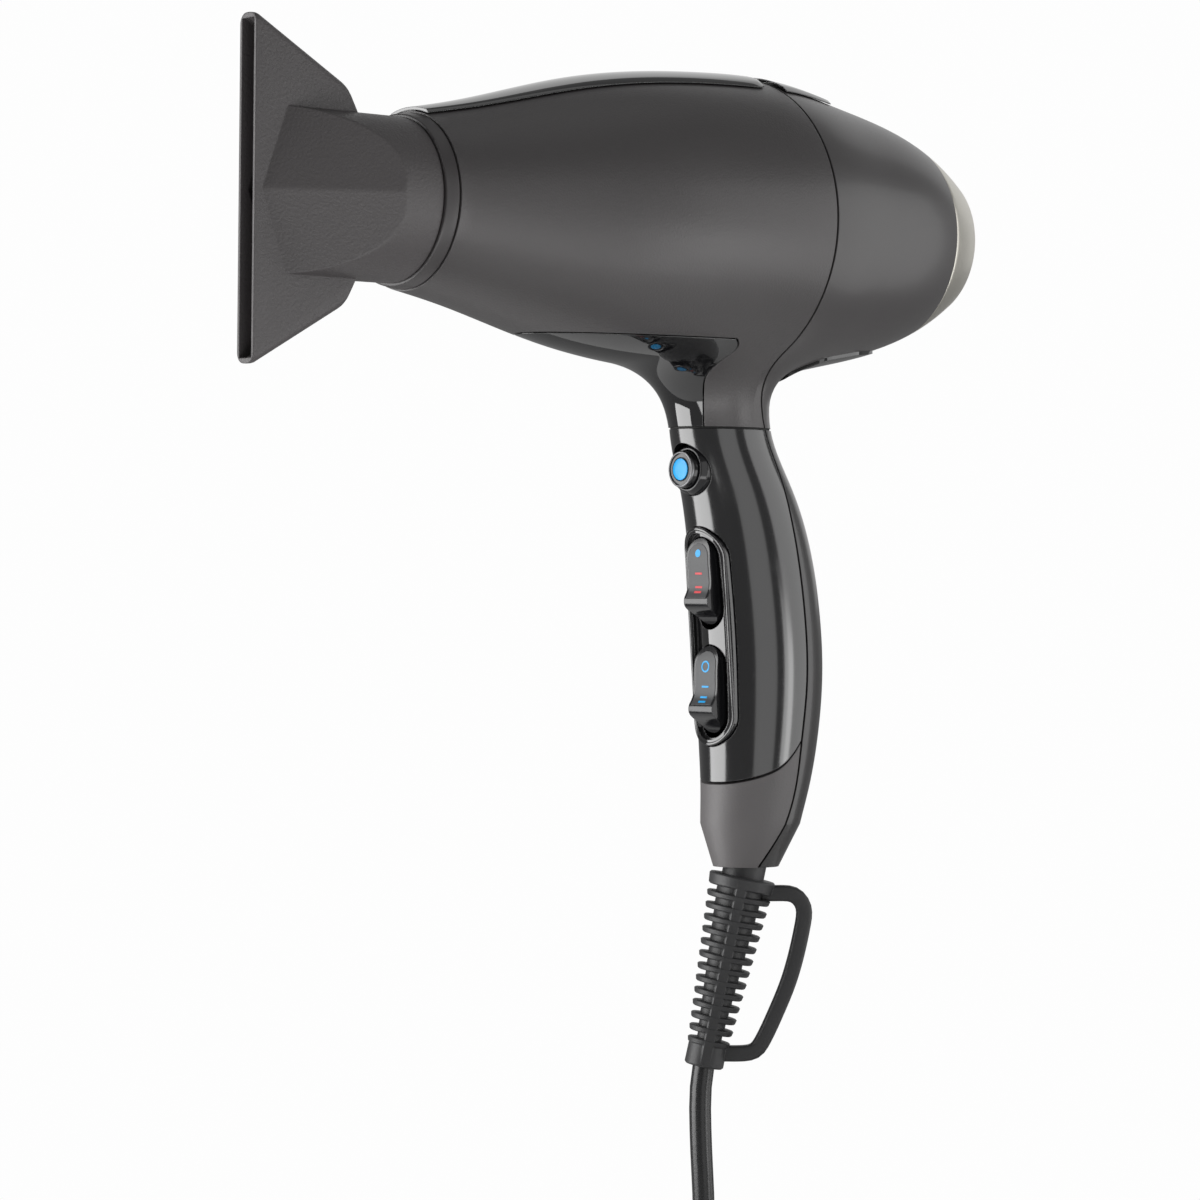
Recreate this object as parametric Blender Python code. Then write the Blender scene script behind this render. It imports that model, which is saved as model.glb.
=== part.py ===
"""A hand-held hair dryer with its concentrator nozzle, taken apart into the pieces it is made of.

Frame: +Z up, the barrel along X with the nozzle towards -X, the left and right sides mirrored in
the plane y = 0, and the origin in the middle of the grip. Sizes are written in millimetres and
turned into metres as each mesh is made.
"""

import math

import bmesh
import bpy
import numpy as np
from mathutils import Matrix, Vector

MM = 0.001

# Fits
GAP = 0.3
WALL = 2.4
PANEL_GAP = 0.35

# Barrel
AXIS_Z = 124.7
BARREL_RADIUS = 44.0
OUTLET_RADIUS = 25.2
INTAKE_RADIUS = 31.0
BARREL_FRONT = -131.0
BARREL_REAR = 55.0
WIDEST_X = -25.0
RING_LENGTH = 17.0
RING_TAIL_RADIUS = 22.0
BELLY_DROP = 35.0
BELLY_TIP_X = -27.0

# Nozzle
NOZZLE_LENGTH = 49.8
NOZZLE_RADIUS = 23.3
MOUTH_HEIGHT = 95.6
MOUTH_WIDTH = 7.5
BLADE_HEIGHT = 61.0
BLADE_LENGTH = 31.8
NOZZLE_WALL = 1.5
BEZEL_LENGTH = 4.2

# Handle
GRIP_DEPTH = 40.2
GRIP_ROUNDNESS = 0.87
GRIP_BOTTOM = -65.8
CHAMFER_Z = -53.0
NECK_Z = 65.0
NECK_RADIUS = 16.0
NECK_X = -13.0
GROOVE = 0.9
CORD_HOLE_RADIUS = 7.0
FLARE_FRONT = 20.0
FLARE_REAR = 11.0

# Switches
BEZEL_WIDTH = 18.0
BEZEL_HEIGHT = 65.0
BEZEL_MIDDLE = 2.9
BEZEL_RIM = 1.8
BEZEL_PROUD = 0.9
ROCKER_WIDTH = 10.5
ROCKER_HEIGHT = 26.0
HEAT_ROCKER_Z = 19.3
SPEED_ROCKER_Z = -12.8
ROCKER_PROUD = 4.0
PIVOT_DEPTH = 7.0
PIVOT_RADIUS = 1.2
BLOCK_DEPTH = 14.5
BUTTON_RADIUS = 5.45
BUTTON_Z = 52.4
BUTTON_PROUD = 2.7
BUTTON_TRAVEL = 1.5
DOT_RADIUS = 2.8

# Fan, motor and heater
DUCT_FRONT = -22.0
DUCT_REAR = 44.0
DUCT_WALL = 1.5
MOTOR_RADIUS = 14.4
MOTOR_LENGTH = 32.0
SHAFT_RADIUS = 1.2
FAN_BLADES = 9
VANES = 7
HEATER_WALL = 0.8
COIL_RADIUS = 15.6
COIL_WIRE = 0.7
COIL_TURNS = 4

# Cord
CORD_RADIUS = 3.3
GUARD_TOP = -68.1
GUARD_TOP_X = -1.6
GUARD_LENGTH = 56.4
GUARD_TOP_RADIUS = 10.0
GUARD_END_RADIUS = 5.9
GUARD_LEAN = 11.1
GUARD_SWIVEL = -40.0
RIBS = 13
LOOP_RADIUS = 2.4
SURFACE_Z = -218.5
CORD_BEND = 32.0
COIL_MEAN_RADIUS = 36.0
COIL_BUNDLE_RADIUS = 10.0
PLUG_WIDTH = 34.0
PLUG_LENGTH = 36.0
PLUG_THICKNESS = 13.7
PIN_LENGTH = 19.0
PIN_RADIUS = 2.0
PIN_SPACING = 19.0

FINISHES = {
    "satin_housing": ((0.085, 0.082, 0.082), 0.35, 0.0),
    "gloss_housing": ((0.02, 0.02, 0.021), 0.06, 0.0),
    "matte_plastic": ((0.06, 0.058, 0.058), 0.6, 0.0),
    "champagne_ring": ((0.62, 0.6, 0.54), 0.3, 1.0),
    "rubber": ((0.03, 0.03, 0.031), 0.55, 0.0),
    "blue_dot": ((0.0, 0.37, 0.62), 0.35, 0.0),
    "steel": ((0.6, 0.6, 0.62), 0.3, 1.0),
    "brass": ((0.72, 0.55, 0.25), 0.3, 1.0),
    "mica": ((0.62, 0.55, 0.42), 0.6, 0.0),
    "heater_wire": ((0.45, 0.4, 0.38), 0.45, 1.0),
    "inner_plastic": ((0.1, 0.1, 0.1), 0.5, 0.0),
    "wire_sleeve": ((0.3, 0.12, 0.05), 0.45, 0.0),
    "mesh_steel": ((0.4, 0.4, 0.41), 0.4, 1.0),
}

for left in list(bpy.data.objects):
    bpy.data.objects.remove(left)

materials = {}


def material(slot):
    if slot not in materials:
        colour, roughness, metallic = FINISHES[slot]
        made = bpy.data.materials.new(slot)
        made.use_nodes = True
        shader = made.node_tree.nodes["Principled BSDF"]
        shader.inputs["Base Color"].default_value = (*colour, 1)
        shader.inputs["Roughness"].default_value = roughness
        shader.inputs["Metallic"].default_value = metallic
        materials[slot] = made
    return materials[slot]


def smooth_curve(stations):
    """A natural cubic through (position, value) stations, as a function of the position."""
    x, y = np.array(stations, float).T
    step = np.diff(x)
    size = len(x)
    matrix = np.eye(size)
    rhs = np.zeros(size)
    for i in range(1, size - 1):
        matrix[i, i - 1 : i + 2] = step[i - 1], 2 * (step[i - 1] + step[i]), step[i]
        rhs[i] = 6 * ((y[i + 1] - y[i]) / step[i] - (y[i] - y[i - 1]) / step[i - 1])
    bend = np.linalg.solve(matrix, rhs)

    def value(at):
        at = np.clip(np.asarray(at, float), x[0], x[-1])
        i = np.clip(np.searchsorted(x, at) - 1, 0, size - 2)
        after, before, h = at - x[i], x[i + 1] - at, step[i]
        cubic = (bend[i] * before**3 + bend[i + 1] * after**3) / (6 * h)
        start = (y[i] / h - bend[i] * h / 6) * before
        end = (y[i + 1] / h - bend[i + 1] * h / 6) * after
        return cubic + start + end

    return value


RING_END = BARREL_REAR + RING_LENGTH
barrel_radius = smooth_curve(
    [
        (BARREL_FRONT, OUTLET_RADIUS),
        (BARREL_FRONT + 16, OUTLET_RADIUS + 3.2),
        (-95, OUTLET_RADIUS + 8.2),
        (-75, BARREL_RADIUS - 5.7),
        (-50, BARREL_RADIUS - 1.8),
        (WIDEST_X, BARREL_RADIUS),
        (0, BARREL_RADIUS - 0.4),
        (20, BARREL_RADIUS - 4),
        (BARREL_REAR - 15, INTAKE_RADIUS + 4.8),
        (BARREL_REAR, INTAKE_RADIUS),
        (RING_END - 6, RING_TAIL_RADIUS + 3.6),
        (RING_END, RING_TAIL_RADIUS),
    ]
)
grip_middle = smooth_curve(
    [
        (GRIP_BOTTOM, -0.6),
        (CHAMFER_Z, 1.0),
        (-43, 2.6),
        (-25, 3.9),
        (-7, 4.1),
        (11, 2.6),
        (29, -0.5),
        (46.8, -5.9),
        (NECK_Z - 0.5, NECK_X + 0.3),
        (NECK_Z + 10, NECK_X),
        (AXIS_Z, NECK_X),
    ]
)
HALF_DEPTH = GRIP_DEPTH / 2
grip_half_depth = smooth_curve(
    [
        (CHAMFER_Z, HALF_DEPTH * 0.79),
        (-43, HALF_DEPTH * 0.855),
        (-25, HALF_DEPTH * 0.955),
        (-7, HALF_DEPTH),
        (11, HALF_DEPTH),
        (29, HALF_DEPTH * 0.97),
        (46.8, (HALF_DEPTH + NECK_RADIUS) / 2 - 0.2),
        (NECK_Z, NECK_RADIUS),
        (NECK_Z + 10, NECK_RADIUS - 0.2),
        (AXIS_Z, NECK_RADIUS - 0.2),
    ]
)
seam_x = smooth_curve(
    [
        (GRIP_BOTTOM, -3.5),
        (-46, 5),
        (-28, 6.7),
        (-12, 7.8),
        (10, 6.6),
        (38.8, 2),
        (52.7, -1.5),
        (NECK_Z - 0.5, -6.1),
        (NECK_Z + 10, -8.2),
        (AXIS_Z - 30, -7.7),
        (AXIS_Z + BARREL_RADIUS + 6, -7.7),
    ]
)


def grip_half_width(z):
    return grip_half_depth(z) * GRIP_ROUNDNESS


def skin_depth(points):
    """How far points lie outside the barrel and its neck; negative inside."""
    x, y, z = points[..., 0], points[..., 1], points[..., 2]
    barrel = np.hypot(y, z - AXIS_Z) - barrel_radius(x)
    deep, wide = grip_half_depth(z), grip_half_width(z)
    middle = grip_middle(z)
    neck = (np.sqrt(((x - middle) / deep) ** 2 + (y / wide) ** 2) - 1) * wide
    flare = np.where(x < middle, FLARE_FRONT, FLARE_REAR)
    blend = np.maximum(flare - np.abs(barrel - neck), 0) / flare
    return np.minimum(barrel, neck) - blend * blend * flare / 4


def settle(points, depth, level=False):
    """Points moved onto the skin `depth` under the outside; level ones keep their height."""
    step = 0.05
    for _ in range(12):
        slope = np.zeros_like(points)
        for axis in range(2 if level else 3):
            ahead, behind = points.copy(), points.copy()
            ahead[..., axis] += step
            behind[..., axis] -= step
            slope[..., axis] = (skin_depth(ahead) - skin_depth(behind)) / (2 * step)
        length = np.maximum((slope**2).sum(-1), 0.05)
        off = (skin_depth(points) + depth) / length
        points = points - slope * off[..., None]
    return points


def linked(name, points, faces, slot, origin=(0, 0, 0), smooth=True):
    """One object from points in millimetres, its faces turned outwards."""
    mesh = bpy.data.meshes.new(name)
    away = np.array(origin, float)
    mesh.from_pydata([tuple((np.array(p) - away) * MM) for p in points], [], faces)
    work = bmesh.new()
    work.from_mesh(mesh)
    bmesh.ops.remove_doubles(work, verts=work.verts, dist=0.0005 * MM)
    bmesh.ops.recalc_face_normals(work, faces=work.faces)
    work.to_mesh(mesh)
    work.free()
    made = bpy.data.objects.new(name, mesh)
    made.location = away * MM
    bpy.context.scene.collection.objects.link(made)
    if slot:
        mesh.materials.append(material(slot))
        if smooth:
            mesh.polygons.foreach_set("use_smooth", [True] * len(mesh.polygons))
            mesh.set_sharp_from_angle(angle=math.radians(32))
    else:
        made.hide_render = True
        made.display_type = "WIRE"
    return made


def ring_faces(count, size, closed):
    faces = []
    for i in range(count if closed else count - 1):
        a, b = i * size, (i + 1) % count * size
        for j in range(size):
            k = (j + 1) % size
            faces.append((a + j, a + k, b + k, b + j))
    return faces


def lofted(name, rings, slot, closed=False, origin=(0, 0, 0), smooth=True):
    """Rings of equally many points skinned in turn; closed joins the last to the first."""
    size = len(rings[0])
    faces = ring_faces(len(rings), size, closed)
    if not closed:
        faces.append(tuple(range(size)))
        faces.append(tuple(range((len(rings) - 1) * size, len(rings) * size)))
    points = [p for ring in rings for p in ring]
    return linked(name, points, faces, slot, origin, smooth)


def circle(radius, segments, phase=0.0):
    turn = np.arange(segments) * 2 * math.pi / segments + phase
    return np.stack([np.cos(turn) * radius, np.sin(turn) * radius], 1)


def turned(name, profile, slot, segments=32, centre=(0, 0, 0), along=(1, 0, 0), origin=None):
    """A body of revolution from (distance along, radius) stations round a closed profile.

    A profile whose first and last radii are zero is closed at its two ends instead.
    """
    solid = profile[0][1] == 0
    start = Vector(centre)
    ahead = Vector(along).normalized()
    side = ahead.orthogonal().normalized()
    up = ahead.cross(side)
    stations = profile[1:-1] if solid else profile
    rings = []
    for distance, radius in stations:
        ring = []
        for u, v in circle(radius, segments):
            ring.append(tuple(start + ahead * distance + side * u + up * v))
        rings.append(ring)
    return lofted(name, rings, slot, not solid, origin or centre)


def rod(name, x0, x1, radius, slot, y=0.0, z=AXIS_Z, segments=20, origin=None):
    profile = [(x0, 0), (x0, radius), (x1, radius), (x1, 0)]
    return turned(name, profile, slot, segments, (0, y, z), (1, 0, 0), origin or (x0, y, z))


def box(name, low, high, slot, origin=(0, 0, 0)):
    rings = []
    for z in (low[2], high[2]):
        ring = [(low[0], low[1], z), (high[0], low[1], z), (high[0], high[1], z), (low[0], high[1], z)]
        rings.append(ring)
    return lofted(name, rings, slot, False, origin, False)


def prism_y(name, outline, half_width, slot=None, origin=(0, 0, 0)):
    """An outline of (x, z) points carried across the object in Y."""
    rings = [[(x, side * half_width, z) for x, z in outline] for side in (-1, 1)]
    return lofted(name, rings, slot, False, origin, False)


def prism_z(name, outline, low, high, slot=None):
    rings = [[(x, y, z) for x, y in outline] for z in (low, high)]
    return lofted(name, rings, slot, False, (0, 0, 0), False)


def stadium(width, height, middle, steps=7):
    """A (y, z) outline with two round ends, standing upright."""
    radius = width / 2
    straight = height / 2 - radius
    outline = []
    for half in (1, -1):
        for i in range(steps + 1):
            turn = math.pi * i / steps
            outline.append(
                (half * radius * math.cos(turn), middle + half * (straight + radius * math.sin(turn)))
            )
    return outline


def prism_x(name, outline, x0, x1, slot=None, smooth=False):
    rings = [[(x, y, z) for y, z in outline] for x in (x0, x1)]
    return lofted(name, rings, slot, False, (0, 0, 0), smooth)


def tube(name, points, radius, slot, resolution=2, cyclic=False, origin=(0, 0, 0)):
    """A round rod along a route of points."""
    curve = bpy.data.curves.new(name, "CURVE")
    curve.dimensions = "3D"
    curve.bevel_depth = radius * MM
    curve.bevel_resolution = resolution
    curve.use_fill_caps = True
    spline = curve.splines.new("POLY")
    spline.points.add(len(points) - 1)
    for slot_point, place in zip(spline.points, points):
        slot_point.co = (*((np.array(place) - np.array(origin)) * MM), 1)
    spline.use_cyclic_u = cyclic
    made = bpy.data.objects.new(name, curve)
    made.location = np.array(origin, float) * MM
    bpy.context.scene.collection.objects.link(made)
    if slot:
        curve.materials.append(material(slot))
    else:
        made.hide_render = True
        made.display_type = "WIRE"
    return made


def swept(name, points, radius, normal, segments=8):
    """A round cutter rod along a route that stays in the plane square to `normal`."""
    points = np.array(points, float)
    normal = np.array(normal, float)
    rings = []
    for i, place in enumerate(points):
        ahead = points[min(i + 1, len(points) - 1)] - points[max(i - 1, 0)]
        side = np.cross(ahead / np.linalg.norm(ahead), normal)
        rings.append([tuple(place + side * u + normal * v) for u, v in circle(radius, segments)])
    return lofted(name, rings, None)


def route_through(points, spacing):
    """A smooth route through points, one point about every `spacing`."""
    points = np.array(points, float)
    length = np.concatenate([[0], np.cumsum(np.linalg.norm(np.diff(points, axis=0), axis=1))])
    at = np.linspace(0, length[-1], max(3, int(round(length[-1] / spacing)) + 1))
    return np.stack([smooth_curve(list(zip(length, points[:, i])))(at) for i in range(3)], 1)


def boolean(target, tool, operation):
    step = target.modifiers.new(operation.title(), "BOOLEAN")
    step.operation = operation
    step.solver = "EXACT"
    step.object = tool
    return target


def cut(target, *tools):
    for tool in tools:
        boolean(target, tool, "DIFFERENCE")
    return target


def keep(target, tool):
    return boolean(target, tool, "INTERSECT")


# ---------------------------------------------------------------- barrel and neck skin


FRONT_COLUMNS, NECK_COLUMNS, REAR_COLUMNS = 5, 8, 4
SKIN_COLUMNS = np.concatenate(
    [
        np.linspace(BARREL_FRONT, NECK_X - 38, FRONT_COLUMNS + 1),
        np.linspace(NECK_X - 38, NECK_X + 30, NECK_COLUMNS + 1)[1:],
        np.linspace(NECK_X + 30, BARREL_REAR, REAR_COLUMNS + 1)[1:],
    ]
)


def skin_side(depth):
    """Rows of points of one side of the barrel and neck wall, and the faces between them."""
    around, half_hole = 32, 4
    columns = SKIN_COLUMNS
    turn = np.arange(around) * 2 * math.pi / around
    points = []
    for x in columns:
        radius = float(barrel_radius(x)) - depth
        for angle in turn:
            points.append((x, radius * math.sin(angle), AXIS_Z - radius * math.cos(angle)))
    first, last = FRONT_COLUMNS, FRONT_COLUMNS + NECK_COLUMNS
    faces = []
    for i in range(len(columns) - 1):
        for j in range(around):
            k = (j + 1) % around
            in_hole = first <= i < last and (j < half_hole or j >= around - half_hole)
            if not in_hole:
                faces.append(
                    (i * around + j, i * around + k, (i + 1) * around + k, (i + 1) * around + j)
                )
    edge = [(i, -half_hole) for i in range(first, last)]
    edge += [(last, j) for j in range(-half_hole, half_hole)]
    edge += [(i, half_hole) for i in range(last, first, -1)]
    edge += [(first, j) for j in range(half_hole, -half_hole, -1)]
    rim = [i * around + j % around for i, j in edge]
    rim_points = np.array([points[i] for i in rim])
    neck_deep = float(grip_half_depth(NECK_Z)) - depth
    neck_wide = float(grip_half_width(NECK_Z)) - depth
    bearing = np.arctan2(rim_points[:, 1] / 30, (rim_points[:, 0] - NECK_X + 4) / 34)
    foot = np.stack(
        [
            NECK_X + neck_deep * np.cos(bearing),
            neck_wide * np.sin(bearing),
            np.full(len(rim), NECK_Z),
        ],
        1,
    )
    elbow = foot.copy()
    elbow[:, :2] = (elbow[:, :2] - (NECK_X, 0)) * 1.12 + (NECK_X, 0)
    elbow[:, 2] = rim_points[:, 2] * 0.35 + (AXIS_Z - BARREL_RADIUS) * 0.65
    rows = 5
    previous = rim
    for row in range(1, rows + 1):
        t = row / rows
        line = (1 - t) ** 2 * rim_points + 2 * t * (1 - t) * elbow + t * t * foot
        line = settle(line, depth, level=row == rows)
        start = len(points)
        points.extend(map(tuple, line))
        current = list(range(start, start + len(rim)))
        for j in range(len(rim)):
            k = (j + 1) % len(rim)
            faces.append((previous[j], previous[k], current[k], current[j]))
        previous = current
    openings = [list(range(around)), [len(columns) * around - around + j for j in range(around)]]
    return points, faces, openings + [previous]


def skin_wall(name, slot, outside=0.0, inside=WALL):
    """The wall of barrel and neck in one, open at the outlet, the intake and the neck."""
    outer, outer_faces, outer_openings = skin_side(outside)
    inner, inner_faces, inner_openings = skin_side(inside)
    shift = len(outer)
    faces = outer_faces + [tuple(shift + i for i in face) for face in inner_faces]
    for outer_ring, inner_ring in zip(outer_openings, inner_openings):
        for j in range(len(outer_ring)):
            k = (j + 1) % len(outer_ring)
            a, b = outer_ring[j], outer_ring[k]
            faces.append((a, b, shift + inner_ring[k], shift + inner_ring[j]))
    return linked(name, outer + inner, faces, slot)


def side_region(name, front, low, high, shift):
    """Everything in front of, or behind, the side seam between two heights."""
    heights = np.linspace(low, high, 25)
    line = [(float(seam_x(z)) + shift, z) for z in heights]
    far = -220 if front else 220
    return prism_y(name, line + [(far, high), (far, low)], BARREL_RADIUS + 30)


def belly_region(name, grow):
    """The lower front of barrel and neck, taken by the gloss belly panel."""
    tip = BELLY_TIP_X + grow
    half = [
        (tip, 24.5 + grow),
        (tip - 3, 19 + grow),
        (tip - 4, 13 + grow),
        (tip, 8.2 + grow),
        (NECK_X - 11 + grow, 6.5 + grow),
    ]
    outline = [(-125, 60)] + [(tip - 8, 60), (tip - 8, 28 + grow)] + half
    outline += [(x, -y) for x, y in reversed(half)] + [(tip - 8, -28 - grow), (tip - 8, -60), (-125, -60)]
    return prism_z(name, outline, NECK_Z - 10, AXIS_Z - BELLY_DROP + grow)


front_region = side_region("front_region", True, NECK_Z - 5, AXIS_Z + BARREL_RADIUS + 5, -PANEL_GAP / 2)
rear_region = side_region("rear_region", False, NECK_Z - 5, AXIS_Z + BARREL_RADIUS + 5, PANEL_GAP / 2)
belly_hole = belly_region("belly_hole", GAP)
belly_keep = belly_region("belly_keep", 0.0)

front_housing = skin_wall("front_housing", "satin_housing")
cut(keep(front_housing, front_region), belly_hole)
belly_panel = skin_wall("belly_panel", "gloss_housing")
keep(belly_panel, belly_keep)


def rear_belly_outline(grow):
    front, back = 8.0 - grow, 44.0 + grow
    half = [(front, 6 + grow), (front + 8, 15 + grow), (back - 12, 13 + grow), (back, 7 + grow)]
    return half + [(x, -y) for x, y in reversed(half)]


rear_belly_panel = skin_wall("rear_belly_panel", "gloss_housing", -0.9, WALL)
keep(rear_belly_panel, prism_z("rear_belly_keep", rear_belly_outline(0), NECK_Z + 5, AXIS_Z - 20))
rear_housing = skin_wall("rear_housing", "satin_housing")
rear_belly_hole = prism_z("rear_belly_hole", rear_belly_outline(GAP), NECK_Z + 5, AXIS_Z - 20)
cut(keep(rear_housing, rear_region), rear_belly_hole)


def trim_strip(name, x0, x1, half0, half1, lift, thickness, slot, across=6):
    """A strip lying along the top of the barrel, narrow or wide by its angle about the axis."""
    rings = []
    for x in [x0] + [x for x in SKIN_COLUMNS if x0 + 1 < x < x1 - 1] + [x1]:
        t = (x - x0) / (x1 - x0)
        half = math.radians(half0 + (half1 - half0) * t)
        radius = float(barrel_radius(x)) + lift
        turn = np.linspace(-half, half, across + 1)
        top = [(x, (radius + thickness) * math.sin(a), AXIS_Z + (radius + thickness) * math.cos(a)) for a in turn]
        low = [(x, radius * math.sin(a), AXIS_Z + radius * math.cos(a)) for a in turn[::-1]]
        rings.append(top + low)
    return lofted(name, rings, slot)


SEAM_TOP = float(seam_x(AXIS_Z + BARREL_RADIUS))
top_trim = trim_strip("top_trim", BARREL_FRONT + 0.5, SEAM_TOP - 4, 20, 27, GAP, 0.9, "gloss_housing")
rear_top_trim = trim_strip("rear_top_trim", SEAM_TOP + 2, SEAM_TOP + 26, 27, 24, GAP, 0.9, "gloss_housing")

# ---------------------------------------------------------------- outlet end and nozzle

NOZZLE_REAR = BARREL_FRONT - BEZEL_LENGTH - PANEL_GAP - GAP
MOUTH_X = NOZZLE_REAR - NOZZLE_LENGTH
SPIGOT_RADIUS = NOZZLE_RADIUS - NOZZLE_WALL - GAP

turned(
    "front_bezel",
    [
        (BARREL_FRONT - GAP, OUTLET_RADIUS - 0.3),
        (BARREL_FRONT - GAP - BEZEL_LENGTH, OUTLET_RADIUS - 1.1),
        (BARREL_FRONT - GAP - BEZEL_LENGTH, SPIGOT_RADIUS),
        (NOZZLE_REAR - 9, SPIGOT_RADIUS),
        (NOZZLE_REAR - 9, SPIGOT_RADIUS - 1.4),
        (BARREL_FRONT + 7, SPIGOT_RADIUS - 1.4),
        (BARREL_FRONT + 7, SPIGOT_RADIUS),
        (BARREL_FRONT - GAP, SPIGOT_RADIUS),
    ],
    "gloss_housing",
    28,
    (0, 0, AXIS_Z),
)

NOZZLE_ANGLES = 44
BLADE_THIN = MOUTH_WIDTH / 2


def blade_half_height(x):
    """Half the height of the nozzle's flat blade, rounding off where it meets the tube."""
    ahead = (MOUTH_X + BLADE_LENGTH - x) / BLADE_LENGTH
    if ahead >= 0:
        return BLADE_HEIGHT / 2 + (MOUTH_HEIGHT - BLADE_HEIGHT) / 2 * ahead
    corner = 5.6
    behind = min(1.0, -ahead * BLADE_LENGTH / corner)
    return BLADE_HEIGHT / 2 - (BLADE_HEIGHT / 2 - NOZZLE_RADIUS + 4) * (1 - math.sqrt(1 - behind**2))


def nozzle_ring(x, inset):
    """One section of the nozzle: a round tube, wedged flat on both sides, with a thin blade."""
    directions = np.array(nozzle_turns)
    cosine, sine = np.abs(np.cos(directions)), np.abs(np.sin(directions))
    radius = NOZZLE_RADIUS - inset
    wedge_start = NOZZLE_REAR - 13.5
    wedge = BLADE_THIN + max(0.0, (x - MOUTH_X - 2.5)) * (NOZZLE_RADIUS - BLADE_THIN) / (
        wedge_start - MOUTH_X - 2.5
    )
    reach = np.full(len(directions), radius)
    if x < wedge_start:
        reach = np.minimum(reach, (wedge - inset) / np.maximum(cosine + 0.09 * sine, 1e-6))
    tall = blade_half_height(x) - inset
    thin = BLADE_THIN - inset
    blade = np.minimum(thin / np.maximum(cosine, 1e-6), tall / np.maximum(sine, 1e-6))
    if tall > radius * 0.9 and x < MOUTH_X + BLADE_LENGTH + 5.5:
        reach = np.maximum(reach, blade)
    return [
        (x, r * math.cos(a), AXIS_Z + r * math.sin(a)) for r, a in zip(reach, directions)
    ]


tip = math.atan2(BLADE_THIN * 0.97, MOUTH_HEIGHT / 2)
quarter = list(np.linspace(0, math.pi / 2 - tip * 2.6, 6)) + [
    math.pi / 2 - tip * 1.4,
    math.pi / 2 - tip * 0.6,
]
half_turn = quarter + [math.pi / 2] + [math.pi - a for a in reversed(quarter)]
nozzle_turns = half_turn + [math.pi + a for a in half_turn[1:-1]]
outer_stations = [
    NOZZLE_REAR, NOZZLE_REAR - 11.8, NOZZLE_REAR - 12.6, NOZZLE_REAR - 14.5, NOZZLE_REAR - 17.5,
    MOUTH_X + 26, MOUTH_X + 18, MOUTH_X + 10, MOUTH_X + 5, MOUTH_X + 2.4, MOUTH_X,
]
nozzle_rings = [nozzle_ring(x, 0.0) for x in outer_stations]
nozzle_rings += [nozzle_ring(x, NOZZLE_WALL) for x in reversed(outer_stations)]
nozzle = lofted("nozzle", nozzle_rings, "matte_plastic", True, (NOZZLE_REAR, 0, AXIS_Z))

HEATER_FRONT = BARREL_FRONT + 14
GRILLE_RADIUS = float(barrel_radius(HEATER_FRONT - 4)) - WALL - GAP
HEATER_FRONT_RADIUS = GRILLE_RADIUS - 2.4
outlet_grille = turned(
    "outlet_grille",
    [
        (HEATER_FRONT - 4, GRILLE_RADIUS - 0.8),
        (HEATER_FRONT + 4, GRILLE_RADIUS),
        (HEATER_FRONT + 4, HEATER_FRONT_RADIUS + 3 * GAP),
        (HEATER_FRONT - GAP, HEATER_FRONT_RADIUS + GAP),
        (HEATER_FRONT - GAP, 2.0),
        (HEATER_FRONT - 4, 2.0),
    ],
    "inner_plastic",
    24,
    (0, 0, AXIS_Z),
)


def sector_tools(name, x0, x1, inner, outer, count, bar, steps=3):
    """Window cutters between spokes `bar` wide, set round the barrel's axis."""
    points, faces = [], []
    for n in range(count):
        first = 2 * math.pi * n / count
        last = 2 * math.pi * (n + 1) / count
        outline = []
        for radius, order in ((inner, 1), (outer, -1)):
            slack = math.asin(min(0.9, bar / 2 / radius))
            turn = np.linspace(first + slack, last - slack, steps + 1)[::order]
            outline += [(radius * math.cos(a), radius * math.sin(a)) for a in turn]
        size = len(outline)
        base = len(points)
        points += [(x, u, AXIS_Z + v) for x in (x0, x1) for u, v in outline]
        faces += [tuple(base + i for i in face) for face in ring_faces(2, size, False)]
        faces.append(tuple(base + i for i in range(size)))
        faces.append(tuple(base + size + i for i in range(size)))
    return linked(name, points, faces, None)


cut(
    outlet_grille,
    sector_tools("outlet_windows_inner", HEATER_FRONT - 8, HEATER_FRONT + 8, 5, 11.2, 6, 1.6),
    sector_tools("outlet_windows_outer", HEATER_FRONT - 8, HEATER_FRONT + 8, 12.8, HEATER_FRONT_RADIUS - 1, 6, 1.6),
)

# ---------------------------------------------------------------- intake end

GRILLE_X = RING_END - 5
GRILLE_RIM = RING_TAIL_RADIUS - 1.5


def ring_inside(x):
    return float(barrel_radius(x)) - WALL


INTAKE_FRONT = BARREL_REAR + GAP
turned(
    "rear_ring",
    [
        (INTAKE_FRONT, INTAKE_RADIUS - 0.2),
        (INTAKE_FRONT + 4, float(barrel_radius(INTAKE_FRONT + 4)) - 0.1),
        (INTAKE_FRONT + 8, float(barrel_radius(INTAKE_FRONT + 8))),
        (RING_END - 5, float(barrel_radius(RING_END - 5))),
        (RING_END - 2, float(barrel_radius(RING_END - 2))),
        (RING_END, RING_TAIL_RADIUS),
        (RING_END + 0.6, RING_TAIL_RADIUS - 2),
        (GRILLE_X + 1.5, GRILLE_RIM),
        (GRILLE_X - 5, GRILLE_RIM),
        (INTAKE_FRONT + 2, INTAKE_RADIUS - 3.2),
        (INTAKE_FRONT - 5, INTAKE_RADIUS - 3.2),
        (INTAKE_FRONT - 5, INTAKE_RADIUS - 1.6 - WALL + 1),
        (INTAKE_FRONT, INTAKE_RADIUS - 1.6 - WALL + 1),
    ],
    "champagne_ring",
    28,
    (0, 0, AXIS_Z),
)
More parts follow.
